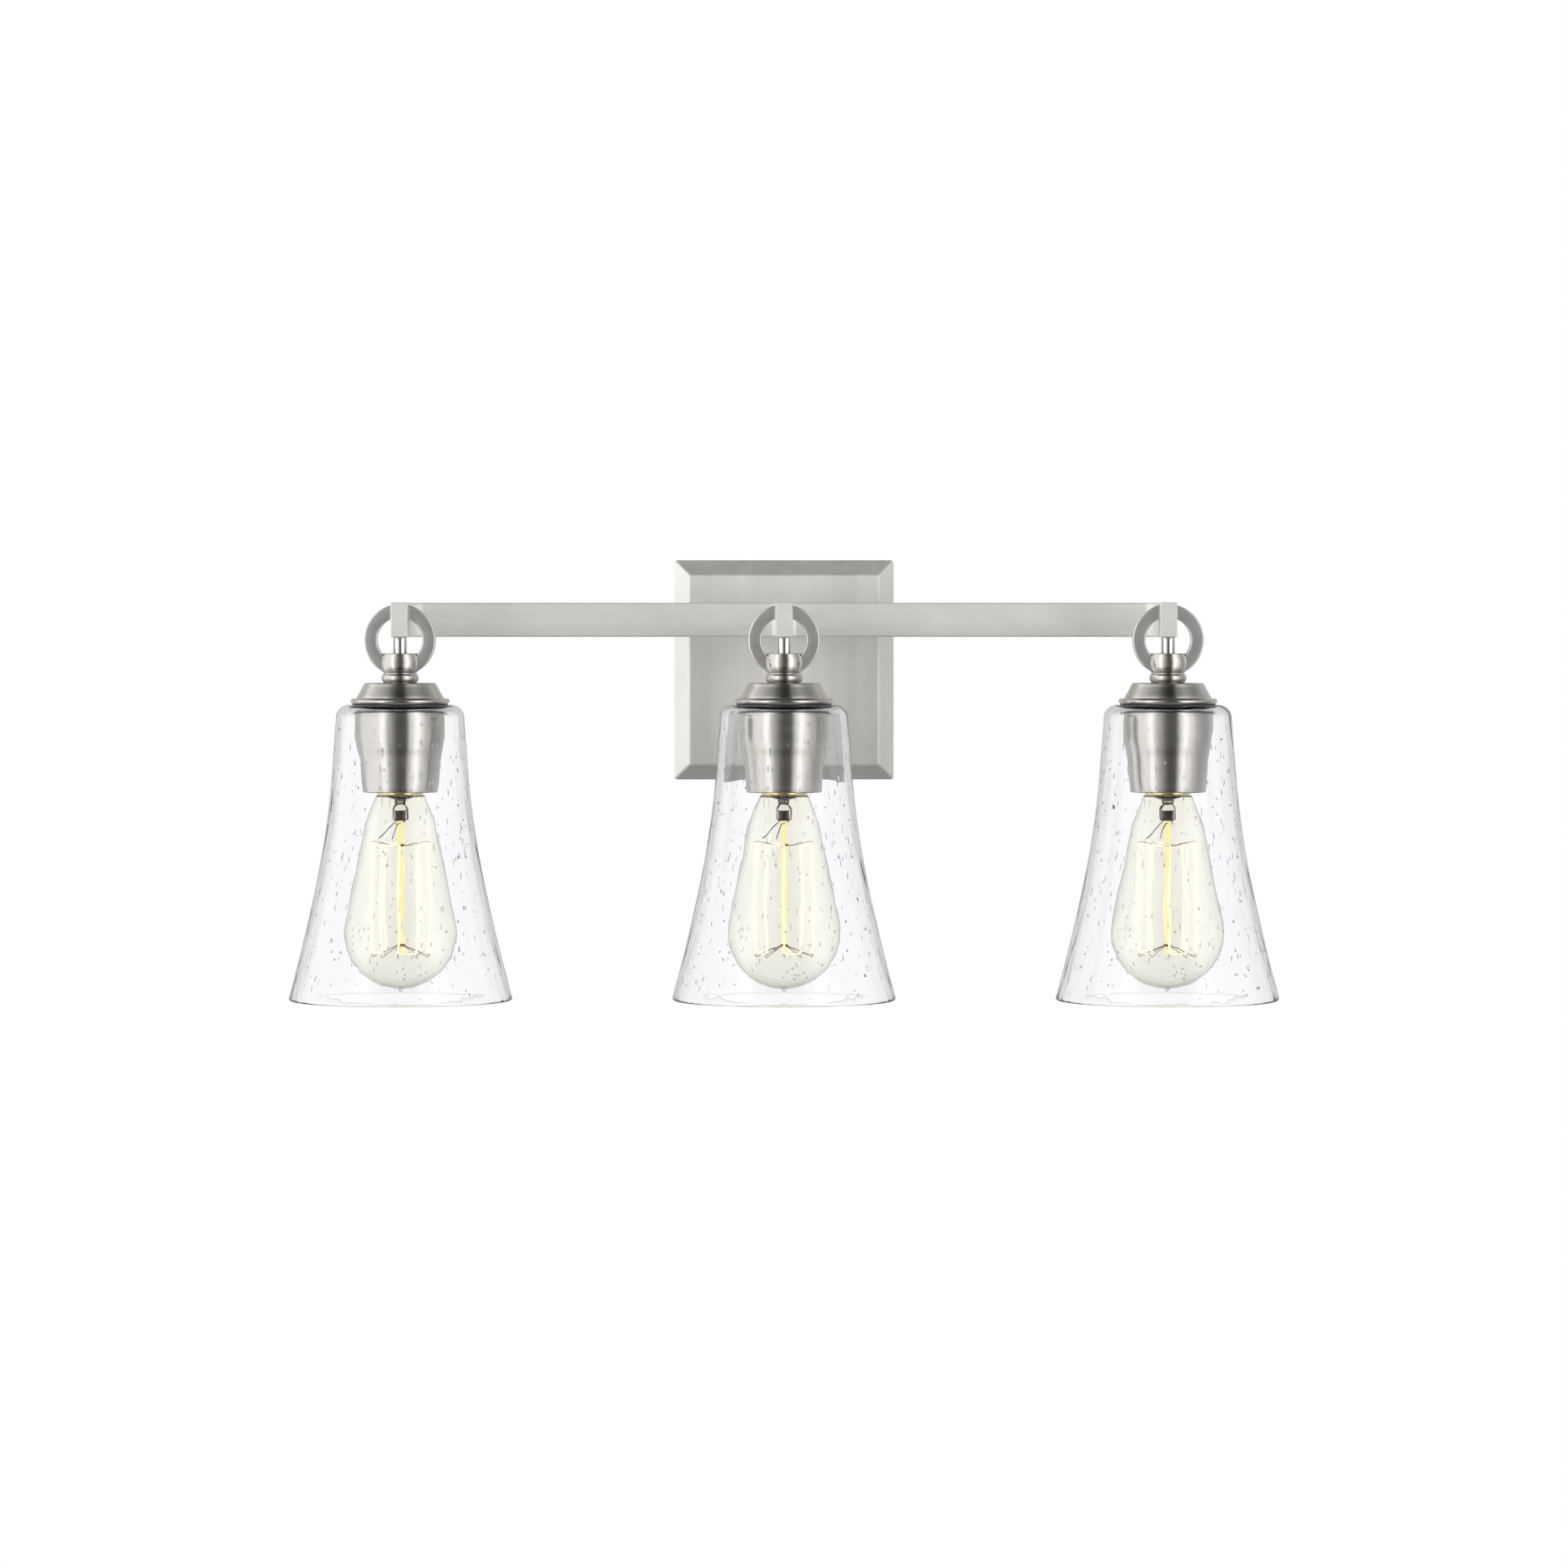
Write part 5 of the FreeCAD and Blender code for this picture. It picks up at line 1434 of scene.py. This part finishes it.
        for start, knee, end in ((-2.6, -4.5, -11.8), (2.6, -1.3, -4.5)):
            path = [
                (start, 0.0, self.press_drop - 6), (start, 0.0, self.press_drop + 0.6),
                (knee, -2.6, self.press_drop + 1.8), (end, -3.2, self.cage_top - 1.8),
            ]
            route = [at + Vector((x, y, -drop)) * MM for x, y, drop in path]
            leads.append(wire("lead_in", route, self.lead_wire, 2))
        lead_in = join_pieces("bulb_lead_in", leads)
        Dresser.dress(lead_in, LEAD_IN, "filament_wire")
        self.pieces.update(
            {"bulb_supports": hooks, "bulb_filament": filament, "bulb_lead_in": lead_in}
        )
        self.spread_out("bulb_filament", "bulb", "bulb_filament")
        self.spread_out("bulb_supports", "bulb")
        self.spread_out("bulb_lead_in", "bulb")

    def turn_round(
        self, place: Callable[[float, float, float], Vector], angle: float, step: float, drop: float
    ) -> bpy.types.Object:
        """The short run of filament from one strand to the next, round a hook.

        Args:
            place: gives a point of the cage from radius, angle and drop.
            angle: angle of the first strand.
            step: angle to the next one.
            drop: how far below the brass it lies.
        Returns:
            The run, as a mesh.
        """
        path = [
            place(self.cage + 0.1, angle + step * k / 6, drop + 0.5 * math.sin(math.pi * k / 6))
            for k in range(7)
        ]
        return wire("turn_round", path, self.turn_wire, 2)


@dataclass
class Lampholder(LampPart):
    """The ceramic lampholder with its screw liner and spring contact."""

    liner: float = 13.4
    waves: int = 4
    bore: float = 14.2
    edge: float = 0.8

    def build(self) -> None:
        """Turns the ceramic and the liner, and dresses the collar and contact that the CAD gives."""
        node = f"socket_body_{MODEL_LAMP}"
        foot = low(node)
        outer, height = radius_of(node), height_of(node)
        floor = (high(f"socket_liner_{MODEL_LAMP}").z - foot.z) / MM
        outline = (
            Outline((0, floor)).line(self.bore, floor).line(self.bore, 0.5)
            .arc(self.bore + 0.5, 0, 0.5, False, 3)
            .line(outer - self.edge, 0).arc(outer, self.edge, self.edge, True, 4)
            .line(outer, height - 0.5).line(outer - 0.5, height).line(5.4, height).line(5.4, height - 2)
            .line(3.2, height - 2).line(3.2, floor + 4).line(0, floor + 4)
        )
        ceramic = turn("socket_body", outline, self.axis(foot.z), 96)
        Dresser.dress(ceramic, PORCELAIN, "porcelain")
        liner_node = f"socket_liner_{MODEL_LAMP}"
        depth = height_of(liner_node)
        shell = Outline((6, 0)).line(self.liner + 0.6, 0)
        steps = self.waves * 6
        for k in range(steps + 1):
            crest = 0.15 * math.cos(k / 6 * math.tau)
            shell.line(self.liner + 0.45 + crest, -0.8 - (depth - 1.6) * k / steps)
        shell.line(self.liner + 0.6, -depth).line(self.liner, -depth)
        for k in range(steps, -1, -1):
            crest = 0.15 * math.cos(k / 6 * math.tau)
            shell.line(self.liner + 0.05 + crest, -0.8 - (depth - 1.6) * k / steps)
        shell.line(self.liner - 0.2, -0.6).line(6, -0.6).closed()
        brass = turn("socket_liner", shell, self.axis(high(liner_node).z), 96)
        Dresser.dress(brass, BRASS, "brass")
        self.pieces.update({"socket_body": ceramic, "socket_liner": brass})
        self.spread_out("socket_body", "fixture", "socket_body")
        self.spread_out("socket_liner", "fixture", "socket_liner")
        for lamp in LAMPS:
            Dresser.dress(frame["nodes"][f"socket_contact_{lamp}"], BRASS, "brass")
            Dresser.dress(frame["nodes"][f"socket_collar_{lamp}"], ZINC, "zinc_steel")


# ----------------------------------------------------------------------------------------------------
# Bar, arms and wall plate
# ----------------------------------------------------------------------------------------------------
@dataclass
class BentBar:
    """The two bent halves of the bar: rectangular tube that turns forward to the outer lamps."""

    wall: float = 1.2
    edge: float = 0.9
    inner_bend: float = 6.0
    drill_radius: float = 3.05
    drill_reach: float = 5.0

    def build(self) -> None:
        """Sweeps the right half, and mirrors it for the left."""
        foot, top = low("light_bar_right"), high("light_bar_right")
        thick = 2 * (top.x - middle("ring_right").x)
        section = Vector((foot.x, top.y - thick / 2, (foot.z + top.z) / 2))
        clear_bench()
        bpy.ops.mesh.primitive_plane_add(
            size=1, location=section, rotation=(0, math.pi / 2, 0), enter_editmode=True
        )
        bpy.ops.transform.resize(value=(1, thick, top.z - foot.z), center_override=section)
        bpy.ops.mesh.bevel(offset=self.edge * MM, segments=5, affect="VERTICES")
        bpy.ops.mesh.inset(thickness=self.wall * MM)
        bpy.ops.mesh.delete(type="FACE")
        bpy.ops.mesh.select_all(action="SELECT")
        bend_x = top.x - thick - self.inner_bend * MM
        bend_y = top.y - thick - self.inner_bend * MM
        bpy.ops.mesh.extrude_region_move(TRANSFORM_OT_translate={"value": (bend_x - foot.x, 0, 0)})
        bpy.ops.mesh.spin(
            steps=20, angle=math.pi / 2, center=(bend_x, bend_y, section.z), axis=(0, 0, 1)
        )
        bpy.ops.mesh.extrude_region_move(TRANSFORM_OT_translate={"value": (0, foot.y - bend_y, 0)})
        right = name_piece("bar_right")
        tidy_mesh(right)
        self.drill(right, middle("stem_right"))
        left = copy_to(right, "bar_left", Vector())
        left.data.transform(Matrix.Scale(-1, 4, (1, 0, 0)))
        tidy_mesh(left)
        for piece, node in ((left, "light_bar_left"), (right, "light_bar_right")):
            smooth(piece, 30)
            Dresser.dress(piece, SATIN_BAR_PAINTED_LIGHTER, "satin_nickel")
            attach(piece, "fixture")
            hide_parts(node)
            LOG.info("%s: %d faces", piece.name, len(piece.data.polygons))

    def drill(self, bar: bpy.types.Object, stem: Vector) -> None:
        """Drills the stem's hole up through the arm's underside.

        Args:
            bar: the bar.
            stem: a point on the stem's axis.
        """
        clear_bench()
        hole = Vector((stem.x, stem.y, low("light_bar_right").z))
        bpy.ops.mesh.primitive_cylinder_add(
            vertices=40, radius=self.drill_radius * MM, depth=self.drill_reach * MM, location=hole
        )
        cut_away(bar, name_piece("drill"))


@dataclass
class MiddleArm:
    """The straight tube from the plate to the middle lamp, its foot, and its welds to the bar."""

    wall: float = 1.2
    edge: float = 0.9
    weld: float = 2.6
    foot_thick: float = 5.0
    foot_edge: float = 0.8
    passage: float = 5.0

    def build(self) -> None:
        """Builds tube, foot and welds, and joins them."""
        foot, top = low("centre_arm"), high("centre_arm")
        half = high("light_bar_right").x - middle("ring_right").x
        plate_face = low("backplate").y
        section = Vector((0, plate_face, (foot.z + top.z) / 2))
        clear_bench()
        bpy.ops.mesh.primitive_plane_add(
            size=1, location=section, rotation=(math.pi / 2, 0, 0), enter_editmode=True
        )
        bpy.ops.transform.resize(value=(2 * half, 1, top.z - foot.z), center_override=section)
        bpy.ops.mesh.bevel(offset=self.edge * MM, segments=5, affect="VERTICES")
        bpy.ops.mesh.inset(thickness=self.wall * MM)
        bpy.ops.mesh.delete(type="FACE")
        bpy.ops.mesh.select_all(action="SELECT")
        bpy.ops.mesh.extrude_region_move(TRANSFORM_OT_translate={"value": (0, foot.y - plate_face, 0)})
        tube = name_piece("tube")
        tidy_mesh(tube)
        BentBar().drill(tube, middle("stem_centre"))
        width = top.x - foot.x
        height = top.z - foot.z - 2 * self.edge * MM
        base = block(
            Vector((width, self.foot_thick * MM, height)),
            Vector((0, plate_face - self.foot_thick * MM / 2, section.z)),
        )
        soften_edges(base, self.foot_edge, 3)
        passage = Vector((self.passage * MM, 0.03, height - 3 * MM))
        cut_away(base, block(passage, Vector((0, plate_face, section.z))))
        welds = [self.make_weld(side, half, section.z, height) for side in (-1, 1)]
        arm = join_pieces("arm_centre", [tube, base, *welds])
        smooth(arm, 30)
        Dresser.dress(arm, SATIN_BAR_PAINTED_LIGHTER, "satin_nickel")
        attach(arm, "fixture")
        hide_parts("centre_arm")
        LOG.info("arm_centre: %d faces", len(arm.data.polygons))

    def make_weld(self, side: int, half: float, height: float, tall: float) -> bpy.types.Object:
        """A hollow fillet in the corner between the arm and the bar's front.

        Args:
            side: -1 for the left corner, 1 for the right.
            half: half the arm's width, in metres.
            height: height of the weld's centre, in metres.
            tall: height of the weld, in metres.
        Returns:
            The weld.
        """
        front = high("light_bar_right").y - 2 * half
        radius = self.weld * MM
        corner = block(
            Vector((radius, radius, tall)),
            Vector((side * (half + radius / 2), front - radius / 2, height)),
        )
        clear_bench()
        centre = Vector((side * (half + radius), front - radius, height))
        bpy.ops.mesh.primitive_cylinder_add(
            vertices=96, radius=radius * 0.995, depth=2 * tall, location=centre
        )
        cut_away(corner, name_piece("round"))
        return corner


@dataclass
class WallPlate:
    """The square bevelled pan and everything fixed behind it."""

    def build(self) -> None:
        """Dresses the plate, the strap, the screws and the caps on the arms."""
        finishes = {
            "backplate": SATIN_PLATE_PAINTED_LIGHTER, "arm_end_caps": SATIN_BAR_PAINTED_LIGHTER, "plate_screws": SATIN_BAR_PAINTED_LIGHTER,
            "crossbar": ZINC, "foot_screws": ZINC, "stem_nuts": ZINC, "socket_nipples": ZINC,
            "ground_screw": GREEN_SCREW, "ground_wire": COPPER, "shade_gaskets": GASKET,
        }
        slots = {entry["node"]: entry["material_slot"] for entry in frame["record"]["subparts"]}
        for node, finish in finishes.items():
            Dresser.dress(frame["nodes"][node], finish, slots[node])
            LOG.info("%s: dressed", node)


@dataclass
class Wiring:
    """The lamps' leads, black and white, and the ribbed connectors that join them."""

    rib: float = 0.5
    ribs: int = 14
    skirt: float = 5.6
    skirt_drop: float = 4.3
    mouth: float = 2.85

    def build(self) -> None:
        """Splits the leads by colour, and makes the connectors."""
        self.build_leads()
        self.build_connectors()

    def build_leads(self) -> None:
        """Copies the CAD leads, merges each tube's loose triangles, and sorts the tubes by colour."""
        source = frame["nodes"]["lamp_leads"]
        bundle = source.copy()
        bundle.data = source.data.copy()
        bundle.parent = None
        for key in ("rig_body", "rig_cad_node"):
            if key in bundle:
                del bundle[key]
        bpy.context.collection.objects.link(bundle)
        pick(bundle)
        bpy.ops.object.mode_set(mode="EDIT")
        bpy.ops.mesh.select_all(action="SELECT")
        bpy.ops.mesh.remove_doubles(threshold=0.002 * MM)
        bpy.ops.mesh.separate(type="LOOSE")
        bpy.ops.object.mode_set(mode="OBJECT")
        tubes = list(bpy.context.selected_objects)
        colours: dict[str, list[bpy.types.Object]] = {"black": [], "white": []}
        for tube in tubes:
            lowest = min(
                (v.co for v in tube.data.vertices if v.co.y > low("backplate").y), key=lambda co: co.z
            )
            colours["black" if lowest.x < 0 else "white"].append(tube)
        for colour, finish in (("black", BLACK_LEAD), ("white", WHITE_LEAD)):
            leads = join_pieces(f"leads_{colour}", colours[colour])
            smooth(leads, 60)
            Dresser.dress(leads, finish, "lead_insulation")
            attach(leads, "fixture")
            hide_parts("lamp_leads")
            LOG.info("leads_%s: %d faces", colour, len(leads.data.polygons))

    def build_connectors(self) -> None:
        """Turns a twist-on connector with a skirt, and raises its ribs."""
        top, length = high("wire_connectors"), height_of("wire_connectors")
        shapes = [v.co for v in frame["nodes"]["wire_connectors"].data.vertices]
        columns = sorted({round(co.x, 5) for co in shapes if abs(co.z - top.z) < 1e-5})
        groups: list[list[float]] = []
        for x in columns:
            if groups and x - groups[-1][-1] < 3 * MM:
                groups[-1].append(x)
            else:
                groups.append([x])
        outline = (
            Outline((self.mouth, 0)).line(self.skirt - 0.2, 0).arc(self.skirt, -0.2, 0.2, False, 2)
            .line(self.skirt, 0.5 - self.skirt_drop)
            .arc(self.skirt - 0.4, -self.skirt_drop, 0.5, False, 3)
            .line(3.6, -length + 1.0, 6).arc(2.6, -length, 1.0, False, 4)
            .line(0, -length)
        )
        inside = Outline((self.mouth, 0)).line(self.mouth, -length * 0.6).line(0, -length * 0.6)
        connectors = []
        for group in groups:
            x = (group[0] + group[-1]) / 2
            near = [co for co in shapes if group[0] - 1e-4 <= co.x <= group[-1] + 1e-4]
            ring = [co.y for co in near if abs(co.z - top.z) < 1e-5]
            at = Vector((x, (min(ring) + max(ring)) / 2, top.z))
            shell = turn("shell", outline, at, self.ribs * 6)
            for vertex in shell.data.vertices:
                drop = (top.z - vertex.co.z) / MM
                if 4.6 < drop < length - 1.5:
                    around = math.atan2(vertex.co.y - at.y, vertex.co.x - at.x)
                    lift = self.rib * 0.5 * (math.cos(self.ribs * around) - 1) * MM
                    out = Vector((vertex.co.x - at.x, vertex.co.y - at.y, 0)).normalized()
                    vertex.co += out * lift * 0.8
            mouth = turn("mouth", inside, at, self.ribs * 6)
            joined = join_pieces("connector", [shell, mouth])
            tidy_mesh(joined)
            connectors.append(joined)
        piece = join_pieces("connectors", connectors)
        smooth(piece, 40)
        Dresser.dress(piece, CONNECTOR, "connector_plastic")
        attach(piece, "fixture")
        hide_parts("wire_connectors")
        LOG.info("connectors: %d faces", len(piece.data.polygons))


# ----------------------------------------------------------------------------------------------------
# Studio
# ----------------------------------------------------------------------------------------------------
@dataclass
class Studio:
    """A pale floor, a white surround with soft light banks, and the camera."""

    lens: float = 138.4
    sensor: float = 36.0
    distance: float = 3.4
    pitch: float = 1.56
    floor_drop: float = 1.7
    softbox: tuple[float, float] = (0.7, 4.0)
    softbox_power: float = 6.0
    softbox_away: float = 1.75
    floor_size: float = 1.8
    floor_ahead: float = 0.4
    bank_strength: float = 1.55
    banks: tuple[Point, ...] = (
        (-180, 0.42), (-128, 0.48), (-110, 0.92), (-42, 0.98), (-24, 0.45), (-8, 0.14), (0, 0.07),
        (20, 0.08), (31, 0.95), (56, 1.0), (78, 0.50), (92, 0.34), (114, 0.34), (130, 0.45), (180, 0.42),
    )
    levels: tuple[Point, ...] = (
        (-1.0, 0.02), (-0.80, 0.04), (-0.62, 0.12), (-0.36, 1.0),
        (0.5, 1.0), (0.66, 0.6), (0.85, 0.14), (1.0, 0.10),
    )

    def build(self) -> None:
        """Sets up camera, surround, lights and floor."""
        self.place_camera()
        self.light_world()
        self.hang_softboxes()
        self.lay_floor()
        scene = bpy.context.scene
        scene.view_settings.view_transform = "Standard"
        scene.view_settings.look = "None"

    def place_camera(self) -> None:
        """Puts the camera straight in front, level with the bar and looking slightly down."""
        data = bpy.data.cameras.new("camera")
        data.lens = self.lens
        data.sensor_width = self.sensor
        data.clip_end = 50
        camera = bpy.data.objects.new("camera", data)
        bpy.context.collection.objects.link(camera)
        bar = middle("light_bar_right")
        lamps = middle(f"cap_{MODEL_LAMP}")
        camera.location = (lamps.x, lamps.y - self.distance, bar.z)
        camera.rotation_euler = (math.radians(90 - self.pitch), 0, 0)
        bpy.context.scene.camera = camera

    def light_world(self) -> None:
        """A surround that shows white, and that metal sees as light banks with dark gaps."""
        world = bpy.data.worlds.new("studio")
        bpy.context.scene.world = world
        world.use_nodes = True
        bench = Nodes(world.node_tree)
        world.node_tree.nodes.clear()
        place = bench.add("TexCoord")
        parts = bench.add("SeparateXYZ")
        bench.join(place.outputs["Generated"], parts.inputs[0])
        towards = bench.math("MULTIPLY", parts.outputs["Y"], -1.0)
        turned = bench.math("DIVIDE", bench.math("ARCTAN2", parts.outputs["X"], towards), math.tau)
        banks = bench.add("ValToRGB")
        self.fill_ramp(banks, tuple((0.5 + angle / 360, value) for angle, value in self.banks))
        bench.join(bench.math("ADD", turned, 0.5), banks.inputs[0])
        heights = bench.add("ValToRGB")
        self.fill_ramp(heights, tuple((0.5 + 0.5 * height, value) for height, value in self.levels))
        bench.join(bench.math("ADD", bench.math("MULTIPLY", parts.outputs["Z"], 0.5), 0.5), heights.inputs[0])
        studio = bench.math("MULTIPLY", banks.outputs[0], heights.outputs[0])
        studio = bench.math("MULTIPLY", studio, self.bank_strength)
        behind = bench.add("MapRange")
        behind.inputs["From Min"].default_value = 0.25
        behind.inputs["From Max"].default_value = 0.80
        behind.inputs["To Min"].default_value = 0.70
        behind.inputs["To Max"].default_value = 1.0
        bench.join(parts.outputs["Y"], behind.inputs["Value"])
        rays = bench.add("LightPath")
        bounces = bench.math("ADD", rays.outputs["Glossy Depth"], rays.outputs["Diffuse Depth"])
        seen = bench.add("Mix", data_type="FLOAT")
        bench.join(bench.math("MINIMUM", bounces, 1.0), seen.inputs["Factor"])
        bench.join(behind.outputs["Result"], seen.inputs[2])
        bench.join(studio, seen.inputs[3])
        background = bench.add("Background")
        background.inputs["Color"].default_value = (1.0, 1.0, 1.0, 1.0)
        bench.join(seen.outputs[0], background.inputs["Strength"])
        bench.join(background.outputs[0], bench.add("OutputWorld").inputs["Surface"])

    def fill_ramp(self, node: bpy.types.Node, stops: tuple[tuple[float, float], ...]) -> None:
        """Sets a colour ramp's greys.

        Args:
            node: the ColorRamp node.
            stops: position and grey value of each stop.
        """
        ramp = node.color_ramp
        ramp.interpolation = "EASE"
        while len(ramp.elements) < len(stops):
            ramp.elements.new(1.0)
        for element, (position, value) in zip(ramp.elements, stops):
            element.position = position
            element.color = (value, value, value, 1.0)

    def hang_softboxes(self) -> None:
        """Two tall soft lights in front, left and right."""
        lamps = middle(f"cap_{MODEL_LAMP}")
        for side in (-1, 1):
            data = bpy.data.lights.new("softbox", "AREA")
            data.shape = "RECTANGLE"
            data.size, data.size_y = self.softbox
            data.energy = self.softbox_power
            light = bpy.data.objects.new("softbox", data)
            bpy.context.collection.objects.link(light)
            light.location = lamps + Vector((side * self.softbox_away, -self.softbox_away, 0.0))
            light.rotation_euler = (lamps - light.location).to_track_quat("-Z", "Y").to_euler()

    def lay_floor(self) -> None:
        """A plain pale floor well below the lamps."""
        clear_bench()
        bpy.ops.mesh.primitive_plane_add(
            size=self.floor_size, location=(0, -self.floor_ahead, -self.floor_drop)
        )
        floor = name_piece("floor")
        material, bench, shader = start_material("pale_floor")
        shader.inputs["Roughness"].default_value = 0.8
        marks = bench.group(Effects.handling(), Size=0.4, Amount=0.6)
        bench.join(
            blend_colours(bench, marks.outputs["Mask"], (0.78, 0.78, 0.78), (0.84, 0.84, 0.84)),
            shader.inputs["Base Color"],
        )
        floor.data.materials.append(material)


def main() -> None:
    """Builds and dresses the whole light, and reports each piece."""
    logging.basicConfig(level=logging.INFO, format="%(name)s %(message)s")
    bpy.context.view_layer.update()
    Studio().build()
    WallPlate().build()
    BentBar().build()
    MiddleArm().build()
    ring = HangingRing()
    ring.build()
    Stem().build()
    Neck().build(ring)
    ShadeCap().build()
    Husk().build()
    Lampholder().build()
    SeededShade().build()
    FilamentBulb().build()
    Wiring().build()
    clear_bench()


if __name__ == "__main__":
    main()
